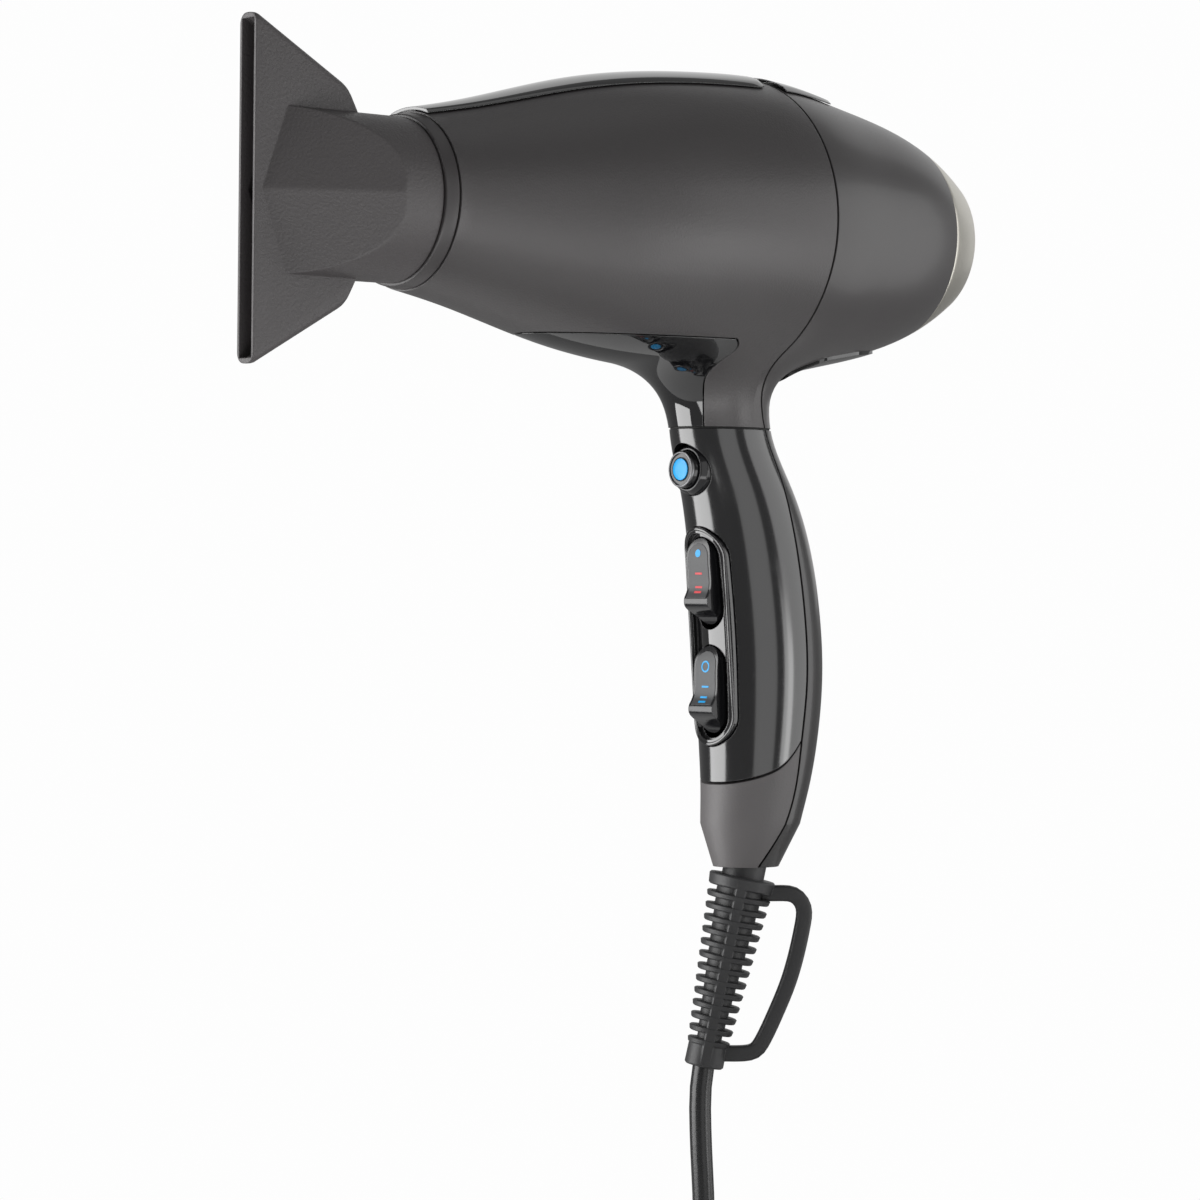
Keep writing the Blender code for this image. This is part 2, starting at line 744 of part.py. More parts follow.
filter_grille = turned(
    "filter_grille",
    [
        (GRILLE_X - 2, 0),
        (GRILLE_X - 2, GRILLE_RIM - GAP),
        (GRILLE_X + 1, GRILLE_RIM - GAP),
        (GRILLE_X + 2.5, GRILLE_RIM - 4),
        (GRILLE_X + 3.4, 6),
        (GRILLE_X + 3.4, 0),
    ],
    "matte_plastic",
    24,
    (0, 0, AXIS_Z),
)
for number, (inner, outer) in enumerate(((5, 10.2), (12, GRILLE_RIM - 2.6))):
    tool = sector_tools(f"intake_windows_{number}", GRILLE_X - 8, GRILLE_X + 8, inner, outer, 10, 1.5, 2)
    cut(filter_grille, tool)
turned(
    "filter_mesh",
    [
        (GRILLE_X - 3.4, 0),
        (GRILLE_X - 3.4, GRILLE_RIM - GAP),
        (GRILLE_X - 2 - GAP, GRILLE_RIM - GAP),
        (GRILLE_X - 2 - GAP, 0),
    ],
    "mesh_steel",
    32,
    (0, 0, AXIS_Z),
)

# ---------------------------------------------------------------- fan, motor and heater

DUCT_RADIUS = float(barrel_radius(DUCT_REAR)) - WALL - GAP
DUCT_BORE = DUCT_RADIUS - DUCT_WALL
SLEEVE_RADIUS = MOTOR_RADIUS + GAP
MOTOR_FRONT = DUCT_FRONT + 4
MOTOR_REAR = MOTOR_FRONT + MOTOR_LENGTH
fan_duct = turned(
    "fan_duct",
    [
        (DUCT_FRONT, DUCT_RADIUS),
        (DUCT_REAR, DUCT_RADIUS),
        (DUCT_REAR, DUCT_BORE),
        (MOTOR_FRONT + 22, DUCT_BORE),
        (MOTOR_FRONT + 22, SLEEVE_RADIUS + 1.4),
        (MOTOR_REAR - 3, SLEEVE_RADIUS + 1.4),
        (MOTOR_REAR - 3, SLEEVE_RADIUS),
        (MOTOR_FRONT, SLEEVE_RADIUS),
        (MOTOR_FRONT, SLEEVE_RADIUS + 1.4),
        (MOTOR_FRONT + 4, SLEEVE_RADIUS + 1.4),
        (MOTOR_FRONT + 4, DUCT_BORE),
        (DUCT_FRONT, DUCT_BORE),
    ],
    "inner_plastic",
    28,
    (0, 0, AXIS_Z),
)
cut(
    fan_duct,
    sector_tools("vane_windows", DUCT_FRONT, MOTOR_REAR + 4, SLEEVE_RADIUS + 1.4, DUCT_BORE - 0.4, VANES, 1.5, 2),
)
motor_can = turned(
    "motor_can",
    [
        (MOTOR_FRONT + 0.4, SHAFT_RADIUS + GAP),
        (MOTOR_FRONT + 0.4, MOTOR_RADIUS),
        (MOTOR_REAR - 1.5, MOTOR_RADIUS),
        (MOTOR_REAR, MOTOR_RADIUS - 1.5),
        (MOTOR_REAR, SHAFT_RADIUS + GAP),
    ],
    "steel",
    32,
    (0, 0, AXIS_Z),
)
turned(
    "motor_end_cap",
    [
        (MOTOR_FRONT - 3, 3.2),
        (MOTOR_FRONT - 3, MOTOR_RADIUS - 2),
        (MOTOR_FRONT - 1, MOTOR_RADIUS - 0.6),
        (MOTOR_FRONT + 0.4 - GAP, MOTOR_RADIUS - 0.6),
        (MOTOR_FRONT + 0.4 - GAP, 3.2),
    ],
    "inner_plastic",
    32,
    (0, 0, AXIS_Z),
)
FAN_FRONT = MOTOR_REAR + 3
FAN_DEPTH = 13.0
FAN_RADIUS = DUCT_BORE - 1.0
fan_centre = (FAN_FRONT, 0, AXIS_Z)
rod("motor_shaft", MOTOR_FRONT + 2, FAN_FRONT + FAN_DEPTH - 2, SHAFT_RADIUS, "steel", origin=fan_centre, segments=12)
fan = turned(
    "fan",
    [
        (0, SHAFT_RADIUS + GAP),
        (0, 12.5),
        (FAN_DEPTH - 3, 11.5),
        (FAN_DEPTH, 8),
        (FAN_DEPTH, SHAFT_RADIUS + GAP),
    ],
    "inner_plastic",
    27,
    fan_centre,
)


def fan_blades(name):
    """Nine twisted blades, each starting inside the hub."""
    points, faces = [], []
    sections = ((9.5, 30), (18, 42), (FAN_RADIUS, 54))
    for n in range(FAN_BLADES):
        turn = 2 * math.pi * n / FAN_BLADES
        outward = np.array((0, math.cos(turn), math.sin(turn)))
        sideways = np.array((0, -math.sin(turn), math.cos(turn)))
        base = len(points)
        for radius, pitch in sections:
            lean = math.radians(pitch)
            chord = np.array((math.cos(lean), 0, 0)) + sideways * math.sin(lean)
            across = np.array((-math.sin(lean), 0, 0)) + sideways * math.cos(lean)
            middle = np.array(fan_centre) + (FAN_DEPTH / 2 - 0.5, 0, 0) + outward * radius
            for along, thick in ((-5, -0.6), (5, -0.6), (5, 0.6), (-5, 0.6)):
                points.append(middle + chord * along + across * thick)
        faces += [tuple(base + i for i in face) for face in ring_faces(3, 4, False)]
        faces += [tuple(base + i for i in range(4)), tuple(base + 8 + i for i in range(4))]
    return linked(name, points, faces, None)


boolean(fan, fan_blades("fan_blade_set"), "UNION")

HEATER_REAR = DUCT_FRONT - GAP
HEATER_REAR_RADIUS = DUCT_RADIUS
turned(
    "heater_tube",
    [
        (HEATER_FRONT, HEATER_FRONT_RADIUS),
        (HEATER_REAR, HEATER_REAR_RADIUS),
        (HEATER_REAR, HEATER_REAR_RADIUS - HEATER_WALL),
        (HEATER_FRONT, HEATER_FRONT_RADIUS - HEATER_WALL),
    ],
    "mica",
    24,
    (0, 0, AXIS_Z),
)


def tube_bore(x):
    t = (x - HEATER_FRONT) / (HEATER_REAR - HEATER_FRONT)
    return HEATER_FRONT_RADIUS + (HEATER_REAR_RADIUS - HEATER_FRONT_RADIUS) * t - HEATER_WALL


def cross_ring(x, reach):
    half = 0.6
    quarter_turn = [(reach, -half), (reach, half), (half, half)]
    ring = []
    for n in range(4):
        cosine, sine = math.cos(n * math.pi / 2), math.sin(n * math.pi / 2)
        ring += [(x, u * cosine - v * sine, AXIS_Z + u * sine + v * cosine) for u, v in quarter_turn]
    return ring


FRAME_FRONT = HEATER_FRONT + 0.5
FRAME_REAR = MOTOR_FRONT - 3 - GAP - 5.5
arm = COIL_RADIUS - COIL_WIRE - GAP
frame_rings = [
    cross_ring(FRAME_FRONT, tube_bore(FRAME_FRONT) - GAP),
    cross_ring(FRAME_FRONT + 4, tube_bore(FRAME_FRONT) - GAP),
    cross_ring(FRAME_FRONT + 4, arm),
    cross_ring(FRAME_REAR - 5, arm),
    cross_ring(FRAME_REAR - 5, tube_bore(FRAME_REAR - 5) - GAP),
    cross_ring(FRAME_REAR, tube_bore(FRAME_REAR - 5) - GAP),
]
lofted("heater_frame", frame_rings, "mica", smooth=False)


def heater_coil(name, x0, x1):
    steps = COIL_TURNS * 12
    places = []
    for i in range(steps + 1):
        turn = 2 * math.pi * i / 12
        x = x0 + (x1 - x0) * i / steps
        places.append((x, COIL_RADIUS * math.cos(turn), AXIS_Z + COIL_RADIUS * math.sin(turn)))
    return tube(name, places, COIL_WIRE, "heater_wire", 0)


COIL_SPAN = (FRAME_REAR - 5 - FRAME_FRONT - 4) / 2
heater_coil("heater_coil_front", FRAME_FRONT + 8, FRAME_FRONT + COIL_SPAN + 1)
heater_coil("heater_coil_rear", FRAME_FRONT + COIL_SPAN + 7, FRAME_REAR - 9)
rod("thermostat", FRAME_REAR + GAP, FRAME_REAR + GAP + 4.5, 4.5, "steel", y=11, segments=20)
rod("thermal_fuse", -66, -56, 1.8, "steel", y=7.5, z=AXIS_Z + 0.6 + GAP + 1.8, segments=12)

# ---------------------------------------------------------------- handle shells


def grip_ring(z, depth, segments=28):
    if z < CHAMFER_Z:
        t = (CHAMFER_Z - z) / (CHAMFER_Z - GRIP_BOTTOM)
        top = float(grip_half_depth(CHAMFER_Z))
        deep = top + (top * 0.655 - top) * t
    else:
        deep = float(grip_half_depth(z))
    wide = deep * GRIP_ROUNDNESS
    middle = float(grip_middle(z))
    turn = np.arange(segments) * 2 * math.pi / segments
    return [
        (middle + (deep - depth) * math.cos(a), (wide - depth) * math.sin(a), z) for a in turn
    ]


GRIP_TOP = NECK_Z - GROOVE
GRIP_HEIGHTS = [GRIP_TOP, 52, 40, 28, 16, 4, -8, -20, -31, -42, CHAMFER_Z, GRIP_BOTTOM]


def level_circle(radius, z, segments=28):
    above = GRIP_BOTTOM + WALL / 2 - GUARD_TOP
    shift = above * math.tan(math.radians(GUARD_LEAN))
    swivel = math.radians(GUARD_SWIVEL)
    x, y = GUARD_TOP_X + shift * math.cos(swivel), shift * math.sin(swivel)
    return [(x + u, y + v, z) for u, v in circle(radius, segments)]


def grip_wall(name, slot):
    """The whole handle wall with its floor, before it is divided into its mouldings."""
    outer = [grip_ring(z, 0.0) for z in GRIP_HEIGHTS]
    floor = [
        level_circle(CORD_HOLE_RADIUS, GRIP_BOTTOM),
        level_circle(CORD_HOLE_RADIUS, GRIP_BOTTOM + WALL),
    ]
    inner = [grip_ring(z, WALL) for z in reversed(GRIP_HEIGHTS[:-1])]
    foot = grip_ring(GRIP_BOTTOM + WALL, WALL)
    return lofted(name, outer + floor + [foot] + inner, slot, True)


def grip_band(name, slot, outside, inside):
    """A layer that follows the handle's surface between two depths."""
    heights = GRIP_HEIGHTS[:-2]
    rings = [grip_ring(z, outside) for z in heights] + [grip_ring(z, inside) for z in reversed(heights)]
    return lofted(name, rings, slot, True)


def base_line(shift):
    line = smooth_curve([(-25, -41.5), (-13, -40.4), (-6.3, -38.3), (0.2, -35), (6.7, -27.6), (9, -24)])
    return [(x, float(line(x)) + shift) for x in np.linspace(-25, 9, 12)]


front_cover_region = prism_y(
    "front_cover_region", base_line(PANEL_GAP / 2) + [(9, 90), (-40, 90), (-40, -41.5 + PANEL_GAP / 2)], 60
)
base_region = prism_y(
    "base_region", base_line(-PANEL_GAP / 2) + [(9, -90), (-40, -90), (-40, -41.5 - PANEL_GAP / 2)], 60
)
grip_front_region = side_region("grip_front_region", True, -80, NECK_Z + 5, -PANEL_GAP / 2)
grip_rear_region = side_region("grip_rear_region", False, -80, NECK_Z + 5, PANEL_GAP / 2)


def surface_x(z):
    return float(grip_middle(z) - grip_half_depth(z))


BUTTON_FACE = surface_x(BUTTON_Z) - BUTTON_PROUD
FRONT_X = surface_x(BUTTON_Z) - 20
COLLAR_RADIUS = BUTTON_RADIUS + 2.1
bezel_hole = prism_x(
    "bezel_hole",
    stadium(BEZEL_WIDTH + 2 * 0.5, BEZEL_HEIGHT + 2 * 0.5, BEZEL_MIDDLE),
    FRONT_X,
    0,
)
collar_hole = rod("collar_hole", FRONT_X, -10, COLLAR_RADIUS + GAP, None, z=BUTTON_Z)
handle_front_cover = grip_wall("handle_front_cover", "gloss_housing")
keep(keep(handle_front_cover, grip_front_region), front_cover_region)
cut(handle_front_cover, bezel_hole, collar_hole)
handle_base = grip_wall("handle_base", "matte_plastic")
keep(keep(handle_base, grip_front_region), base_region)
handle_rear_shell = grip_wall("handle_rear_shell", "satin_housing")
keep(handle_rear_shell, grip_rear_region)

# ---------------------------------------------------------------- switches

switch_bezel = grip_band("switch_bezel", "gloss_housing", -BEZEL_PROUD, WALL)
keep(switch_bezel, prism_x("bezel_keep", stadium(BEZEL_WIDTH, BEZEL_HEIGHT, BEZEL_MIDDLE), FRONT_X, 0))
pan = grip_band("bezel_pan", None, -6.0, 0.7)
inner_stadium = stadium(BEZEL_WIDTH - 2 * BEZEL_RIM, BEZEL_HEIGHT - 2 * BEZEL_RIM, BEZEL_MIDDLE)
keep(pan, prism_x("bezel_pan_keep", inner_stadium, FRONT_X, 0))
cut(switch_bezel, pan)

SLOT_EXTRA = 1.1


def placed(points, z):
    """Points given outward-in and up from the handle's front surface, set at height z."""
    slope = (surface_x(z + 6) - surface_x(z - 6)) / 12
    tilt = math.atan(slope)
    start = Vector((surface_x(z), 0, z))
    turn = Matrix.Rotation(tilt, 3, "Y")
    return [tuple(start + turn @ Vector(p)) for p in points]


def local_box(name, low, high, z, slot):
    points = []
    for up in (low[2], high[2]):
        for x, y in ((low[0], low[1]), (high[0], low[1]), (high[0], high[1]), (low[0], high[1])):
            points.append((x, y, up))
    faces = ring_faces(2, 4, False) + [(0, 1, 2, 3), (4, 5, 6, 7)]
    return linked(name, placed(points, z), faces, slot, smooth=False)


def local_prism(name, outline, x0, x1, z, slot=None, origin=(0, 0, 0)):
    size = len(outline)
    points = [(x, y, up) for x in (x0, x1) for y, up in outline]
    faces = ring_faces(2, size, False) + [tuple(range(size)), tuple(range(size, 2 * size))]
    return linked(name, placed(points, z), faces, slot, origin)


def pivot_rod(name, radius, half_length, z, slot, segments=12):
    ring = circle(radius, segments)
    points = [(PIVOT_DEPTH + u, side * half_length, v) for side in (-1, 1) for u, v in ring]
    size = len(ring)
    faces = ring_faces(2, size, False) + [tuple(range(size)), tuple(range(size, 2 * size))]
    return linked(name, placed(points, z), faces, slot)


def rocker(kind, z):
    """One rocker with its trunnions, and the switch block it sits in."""
    half = ROCKER_HEIGHT / 2
    pivot = placed([(PIVOT_DEPTH, 0, 0)], z)[0]
    side_view = [
        (0.4, half),
        (-0.9, half - 3.5),
        (-1.6, 2.0),
        (-ROCKER_PROUD + 0.4, -half * 0.33),
        (-ROCKER_PROUD, -half * 0.42),
        (-ROCKER_PROUD + 0.5, -half * 0.52),
        (0.2, -half + 2.2),
        (1.2, -half),
        (4.2, -half),
        (4.8, -4.5),
        (PIVOT_DEPTH + 1.6, -3.5),
        (PIVOT_DEPTH + 1.6, 3.5),
        (4.8, 4.5),
        (4.2, half),
    ]
    size = len(side_view)
    body_half = ROCKER_WIDTH / 2
    points = [(x, side * body_half, up) for side in (-1, 1) for x, up in side_view]
    faces = ring_faces(2, size, False) + [tuple(range(size)), tuple(range(size, 2 * size))]
    made = linked(f"{kind}_rocker", placed(points, z), faces, "matte_plastic", pivot, True)
    keep(made, local_prism(f"{kind}_rocker_plan", stadium(ROCKER_WIDTH, ROCKER_HEIGHT, 0), -12, 20, z))
    boolean(made, pivot_rod(f"{kind}_rocker_trunnion", PIVOT_RADIUS, body_half + 1.6, z, None), "UNION")
    slot_outline = stadium(ROCKER_WIDTH + 2 * GAP, ROCKER_HEIGHT + 2 * GAP + SLOT_EXTRA, -SLOT_EXTRA / 2)
    cut(switch_bezel, local_prism(f"{kind}_slot", slot_outline, -8, 9, z))
    block = local_box(f"{kind}_switch_block", (5.9, -7.3, -11), (BLOCK_DEPTH, 7.3, 11), z, "inner_plastic")
    pocket = local_box(
        f"{kind}_pocket", (0, -body_half - GAP, -12.5), (PIVOT_DEPTH + 3.2, body_half + GAP, 8.6), z, None
    )
    cut(block, pocket, pivot_rod(f"{kind}_socket", PIVOT_RADIUS + GAP, body_half + 1.9, z, None))
    return made


rocker("heat", HEAT_ROCKER_Z)
rocker("speed", SPEED_ROCKER_Z)

COLLAR_REAR = surface_x(BUTTON_Z) + 7
collar = rod("cool_shot_collar", BUTTON_FACE + 0.8, COLLAR_REAR, COLLAR_RADIUS, "inner_plastic", z=BUTTON_Z, segments=28)
cut(collar, rod("collar_bore", FRONT_X, COLLAR_REAR + 1, BUTTON_RADIUS + GAP, None, z=BUTTON_Z, segments=28))
button_centre = (BUTTON_FACE, 0, BUTTON_Z)
STEM_END = BUTTON_FACE + 14.5
cool_shot_button = turned(
    "cool_shot_button",
    [
        (0.5, 0),
        (0.5, DOT_RADIUS + 0.15),
        (0, DOT_RADIUS + 0.3),
        (0, BUTTON_RADIUS - 0.5),
        (0.5, BUTTON_RADIUS),
        (6.5, BUTTON_RADIUS),
        (6.5, 2.0),
        (STEM_END - BUTTON_FACE, 2.0),
        (STEM_END - BUTTON_FACE, 0),
    ],
    "matte_plastic",
    28,
    button_centre,
)
turned(
    "cool_shot_dot",
    [(-0.2, 0), (-0.2, DOT_RADIUS - 0.2), (0.0, DOT_RADIUS - 0.05), (0.2, DOT_RADIUS - 0.05), (0.2, 0)],
    "blue_dot",
    24,
    button_centre,
)
SPRING_START = BUTTON_FACE + 6.5 + GAP + 0.5
SWITCH_FACE = STEM_END + BUTTON_TRAVEL + GAP
spring_points = []
for i in range(41):
    turn = 2 * math.pi * i / 10
    x = SPRING_START + (SWITCH_FACE - GAP - 0.5 - SPRING_START) * i / 40
    spring_points.append((x, 3.3 * math.cos(turn), BUTTON_Z + 3.3 * math.sin(turn)))
tube("cool_shot_spring", spring_points, 0.4, "steel", 0)
box(
    "cool_shot_switch",
    (SWITCH_FACE, -5.5, BUTTON_Z - 7.5),
    (SWITCH_FACE + 6, 5.5, BUTTON_Z + 6),
    "inner_plastic",
)

# ---------------------------------------------------------------- fastenings inside the handle


def handle_screw(name, z):
    """A screw through the back of the handle into a post behind the switches."""
    back = float(grip_middle(z) + grip_half_depth(z))
    head = back - 1.0
    seat = back - WALL - 0.6
    cut(
        handle_rear_shell,
        rod(f"{name}_head_hole", seat + 1.0, back + 9, 2.9 + GAP, None, z=z, segments=16),
        rod(f"{name}_hole", seat - 8, back + 9, 1.4 + GAP, None, z=z, segments=16),
    )
    profile = [
        (head - 12 - back, 0),
        (head - 12 - back, 1.0),
        (head - 10 - back, 1.4),
        (seat + 1.0 + GAP - back, 1.4),
        (seat + 1.0 + GAP - back, 2.9),
        (head - back + 0.4, 2.9),
        (head - back + 0.4, 0),
    ]
    return turned(name, profile, "steel", 16, (back, 0, z))


handle_screw("handle_screw_upper", 40.0)
handle_screw("handle_screw_lower", -34.0)

# ---------------------------------------------------------------- cord guard, cord and plug

LEAN = math.radians(GUARD_LEAN)
GUARD_START = Vector((GUARD_TOP_X, 0, GUARD_TOP))
SWIVEL = math.radians(GUARD_SWIVEL)
GUARD_OUT = Vector((math.cos(SWIVEL), math.sin(SWIVEL), 0))
GUARD_SIDE = Vector((-math.sin(SWIVEL), math.cos(SWIVEL), 0))
GUARD_ALONG = -math.sin(LEAN) * GUARD_OUT - math.cos(LEAN) * Vector((0, 0, 1))
CORD_EXIT = GUARD_START + GUARD_ALONG * (GUARD_LENGTH + 2.4)


def guard_radius(distance):
    t = distance / GUARD_LENGTH
    return GUARD_TOP_RADIUS + (GUARD_END_RADIUS - GUARD_TOP_RADIUS) * t


NECK_FIT = CORD_HOLE_RADIUS - 2 * GAP
guard_profile = [(-5.4, CORD_RADIUS + GAP), (-5.4, NECK_FIT), (0.9, NECK_FIT)]
guard_profile += [(0.9, guard_radius(0)), (4.6, guard_radius(4.6))]
RIB_PITCH = (GUARD_LENGTH - 4.6 - 4.0) / RIBS
for n in range(RIBS):
    start = 4.6 + n * RIB_PITCH
    core = guard_radius(start) - 2.5
    guard_profile += [
        (start, core),
        (start + RIB_PITCH * 0.5, core),
        (start + RIB_PITCH * 0.5, guard_radius(start)),
        (start + RIB_PITCH * 0.98, guard_radius(start + RIB_PITCH)),
    ]
guard_profile += [(GUARD_LENGTH + 2.4, GUARD_END_RADIUS), (GUARD_LENGTH + 2.4, CORD_RADIUS + GAP)]
cord_guard = turned("cord_guard", guard_profile, "rubber", 14, tuple(GUARD_START), tuple(GUARD_ALONG))


def guard_spine(name, side):
    """The bar that ties the ribs together down one side of the guard."""
    across = GUARD_ALONG.cross(GUARD_SIDE)
    rings = []
    for distance in (3.0, GUARD_LENGTH + 0.5):
        inner = CORD_RADIUS + GAP + 0.6
        outer = guard_radius(distance) - 0.15
        middle = GUARD_START + GUARD_ALONG * distance
        ring = []
        for u, v in ((-1.5, inner), (1.5, inner), (1.5, outer), (-1.5, outer)):
            ring.append(tuple(middle + across * u + GUARD_SIDE * side * v))
        rings.append(ring)
    return lofted(name, rings, None)


for side, word in ((-1, "near"), (1, "far")):
    boolean(cord_guard, guard_spine(f"guard_spine_{word}", side), "UNION")

# Hang loop: (distance out from the guard's top, height) round the loop
LOOP_ROUTE = [
    (5.6, -73.9), (11.2, -73.8), (15.4, -74.4), (18.0, -77.5), (18.0, -83), (16.4, -91), (13.6, -101),
    (10.0, -110), (6.3, -118), (4.0, -121.0), (0.5, -121.9), (-4.1, -122.0), (-7.2, -122.0),
]
loop_places = []
for out, height in LOOP_ROUTE:
    loop_places.append((GUARD_START.x + GUARD_OUT.x * out, GUARD_OUT.y * out, height))
hang_loop = swept("hang_loop_tool", route_through(loop_places, 5.5), LOOP_RADIUS, GUARD_SIDE)
boolean(cord_guard, hang_loop, "UNION")
cut(
    cord_guard,
    turned(
        "guard_bore",
        [(-9, 0), (-9, CORD_RADIUS + GAP), (GUARD_LENGTH + 9, CORD_RADIUS + GAP), (GUARD_LENGTH + 9, 0)],
        None,
        16,
        tuple(GUARD_START),
        tuple(GUARD_ALONG),
    ),
)

CORD_Z = SURFACE_Z + CORD_RADIUS
CORD_X = CORD_EXIT.x + 0.7 * GUARD_OUT.x
CORD_Y = CORD_EXIT.y + 0.7 * GUARD_OUT.y
LANDING_Y = CORD_Y - CORD_BEND
COIL_OUTER_TURN = COIL_MEAN_RADIUS + 2 * CORD_RADIUS
COIL_CENTRE = (CORD_X + COIL_OUTER_TURN, LANDING_Y - 28.0)


def coil_join():
    """How far from the coil's middle, along Y, a straight run of cord meets its outer turn."""
    reach = 0.0
    for u, v in circle(CORD_RADIUS, 24):
        height = CORD_RADIUS + v - COIL_BUNDLE_RADIUS
        outside = COIL_MEAN_RADIUS + math.sqrt((COIL_BUNDLE_RADIUS + GAP) ** 2 - height**2)
        reach = max(reach, outside**2 - (COIL_OUTER_TURN + u) ** 2)
    return math.sqrt(reach)


JOIN_Y = coil_join()

inside_top = GUARD_START - GUARD_ALONG * 12
cord_route = [
    tuple(inside_top),
    tuple(GUARD_START),
    tuple(GUARD_START + GUARD_ALONG * 20),
    tuple(GUARD_START + GUARD_ALONG * 40),
    tuple(CORD_EXIT),
]
for drop, drift in ((7, -0.8), (17, -0.8), (28, -0.3), (41, 0.4)):
    cord_route.append(tuple(CORD_EXIT + GUARD_OUT * drift - Vector((0, 0, drop))))
for i in range(7):
    angle = math.pi / 2 * i / 6
    drop = CORD_Z + CORD_BEND - CORD_BEND * math.sin(angle)
    cord_route.append((CORD_X, LANDING_Y + CORD_BEND * math.cos(angle), drop))
cord_route.append((CORD_X, COIL_CENTRE[1] + JOIN_Y, CORD_Z))
tube("cord_lead", route_through(cord_route, 7.0), CORD_RADIUS, "rubber", 2)

bundle = []
for u, v in circle(COIL_BUNDLE_RADIUS, 10):
    bundle.append((COIL_MEAN_RADIUS + u, SURFACE_Z + COIL_BUNDLE_RADIUS + v))
turned(
    "cord_coil",
    [(height, radius) for radius, height in bundle],
    "rubber",
    28,
    (COIL_CENTRE[0], COIL_CENTRE[1], 0),
    (0, 0, 1),
    (COIL_CENTRE[0], COIL_CENTRE[1], SURFACE_Z + COIL_BUNDLE_RADIUS),
)
TIE_WIDTH = 5.0
tie_profile = [
    (-TIE_WIDTH / 2, COIL_BUNDLE_RADIUS + GAP + 0.2),
    (-TIE_WIDTH / 2, COIL_BUNDLE_RADIUS + 1.3),
    (TIE_WIDTH / 2, COIL_BUNDLE_RADIUS + 1.3),
    (TIE_WIDTH / 2, COIL_BUNDLE_RADIUS + GAP + 0.2),
]
turned(
    "cord_tie",
    tie_profile,
    "rubber",
    24,
    (COIL_CENTRE[0], COIL_CENTRE[1] - COIL_MEAN_RADIUS, SURFACE_Z + COIL_BUNDLE_RADIUS),
    (1, 0, 0),
)

TAIL_X = COIL_CENTRE[0] + COIL_OUTER_TURN
TAIL_START = COIL_CENTRE[1] + JOIN_Y
TAIL_LENGTH = 18.0
PLUG_GUARD_START = TAIL_START + TAIL_LENGTH
PLUG_GUARD_LENGTH = 22.0
PLUG_Z = SURFACE_Z + PLUG_THICKNESS / 2 + 0.2
tail = []
for share, rise in ((0, 0), (0.25, 0.08), (0.5, 0.5), (0.75, 0.92), (0.98, 1)):
    tail.append((TAIL_X, TAIL_START + TAIL_LENGTH * share, CORD_Z + (PLUG_Z - CORD_Z) * rise))
tube("cord_tail", tail, CORD_RADIUS, "rubber", 2)
plug_guard = turned(
    "plug_guard",
    [
        (0, 0),
        (0, CORD_RADIUS + 0.7),
        (PLUG_GUARD_LENGTH, 6.0),
        (PLUG_GUARD_LENGTH, 0),
    ],
    "rubber",
    20,
    (TAIL_X, PLUG_GUARD_START, PLUG_Z),
    (0, 1, 0),
)
PLUG_START = PLUG_GUARD_START + PLUG_GUARD_LENGTH + GAP
PLUG_END = PLUG_START + PLUG_LENGTH


def plug_ring(y, width, thickness, steps=5):
    """A flat rounded section across the plug."""
    radius = thickness / 2
    ring = []
    for half in (1, -1):
        for i in range(steps + 1):
            turn = -math.pi / 2 + math.pi * i / steps
            ring.append(
                (
                    TAIL_X + half * (width / 2 - radius + radius * math.cos(turn)),
                    y,
                    PLUG_Z + half * radius * math.sin(turn),
                )
            )
    return ring


lofted(
    "plug_body",
    [
        plug_ring(PLUG_START, 14, 11.5),
        plug_ring(PLUG_START + 10, 20, 12.8),
        plug_ring(PLUG_START + 24, PLUG_WIDTH - 3, PLUG_THICKNESS),
        plug_ring(PLUG_END - 1.5, PLUG_WIDTH, PLUG_THICKNESS),
        plug_ring(PLUG_END, PLUG_WIDTH - 2, PLUG_THICKNESS - 1.6),
    ],
    "rubber",
)
for side, word in ((-1, "left"), (1, "right")):
    x = TAIL_X + side * PIN_SPACING / 2
    turned(
        f"plug_pin_{word}",
        [(GAP, 0), (GAP, PIN_RADIUS), (PIN_LENGTH - 1.5, PIN_RADIUS), (PIN_LENGTH, 1.0), (PIN_LENGTH, 0)],
        "brass",
        12,
        (x, PLUG_END, PLUG_Z),
        (0, 1, 0),
    )

# ---------------------------------------------------------------- wiring inside

CLAMP_Z = float(inside_top.z) + 3.5
CLAMP_DEPTH = float(grip_half_depth(CHAMFER_Z)) * 0.41
CLAMP_WIDTH = float(grip_half_depth(CHAMFER_Z)) * 0.44
clamp_x, clamp_y = float(inside_top.x), float(inside_top.y)
cord_clamp = box(
    "cord_clamp",
    (clamp_x - CLAMP_DEPTH, clamp_y - CLAMP_WIDTH, CLAMP_Z),
    (clamp_x + CLAMP_DEPTH, clamp_y + CLAMP_WIDTH, CLAMP_Z + 5),
    "inner_plastic",
)
cut(
    cord_clamp,
    turned(
        "clamp_bore",
        [(-14, 0), (-14, CORD_RADIUS - 1.0 + GAP), (20, CORD_RADIUS - 1.0 + GAP), (20, 0)],
        None,
        16,
        tuple(inside_top),
        (0, 0, 1),
    ),
)
lead_wire = [
    (clamp_x, clamp_y, CLAMP_Z - 2.0),
    (clamp_x, clamp_y, CLAMP_Z + 6),
    (clamp_x + 1.5, clamp_y, CLAMP_Z + 12),
    (clamp_x + 5.0, -3.0, CLAMP_Z + 20),
    (7.5, -4.0, -24),
    (6.5, -4.0, -14),
    (3.0, -4.0, SPEED_ROCKER_Z + 3),
    (surface_x(SPEED_ROCKER_Z) + BLOCK_DEPTH + 2 * GAP, -4.0, SPEED_ROCKER_Z + 3),
]
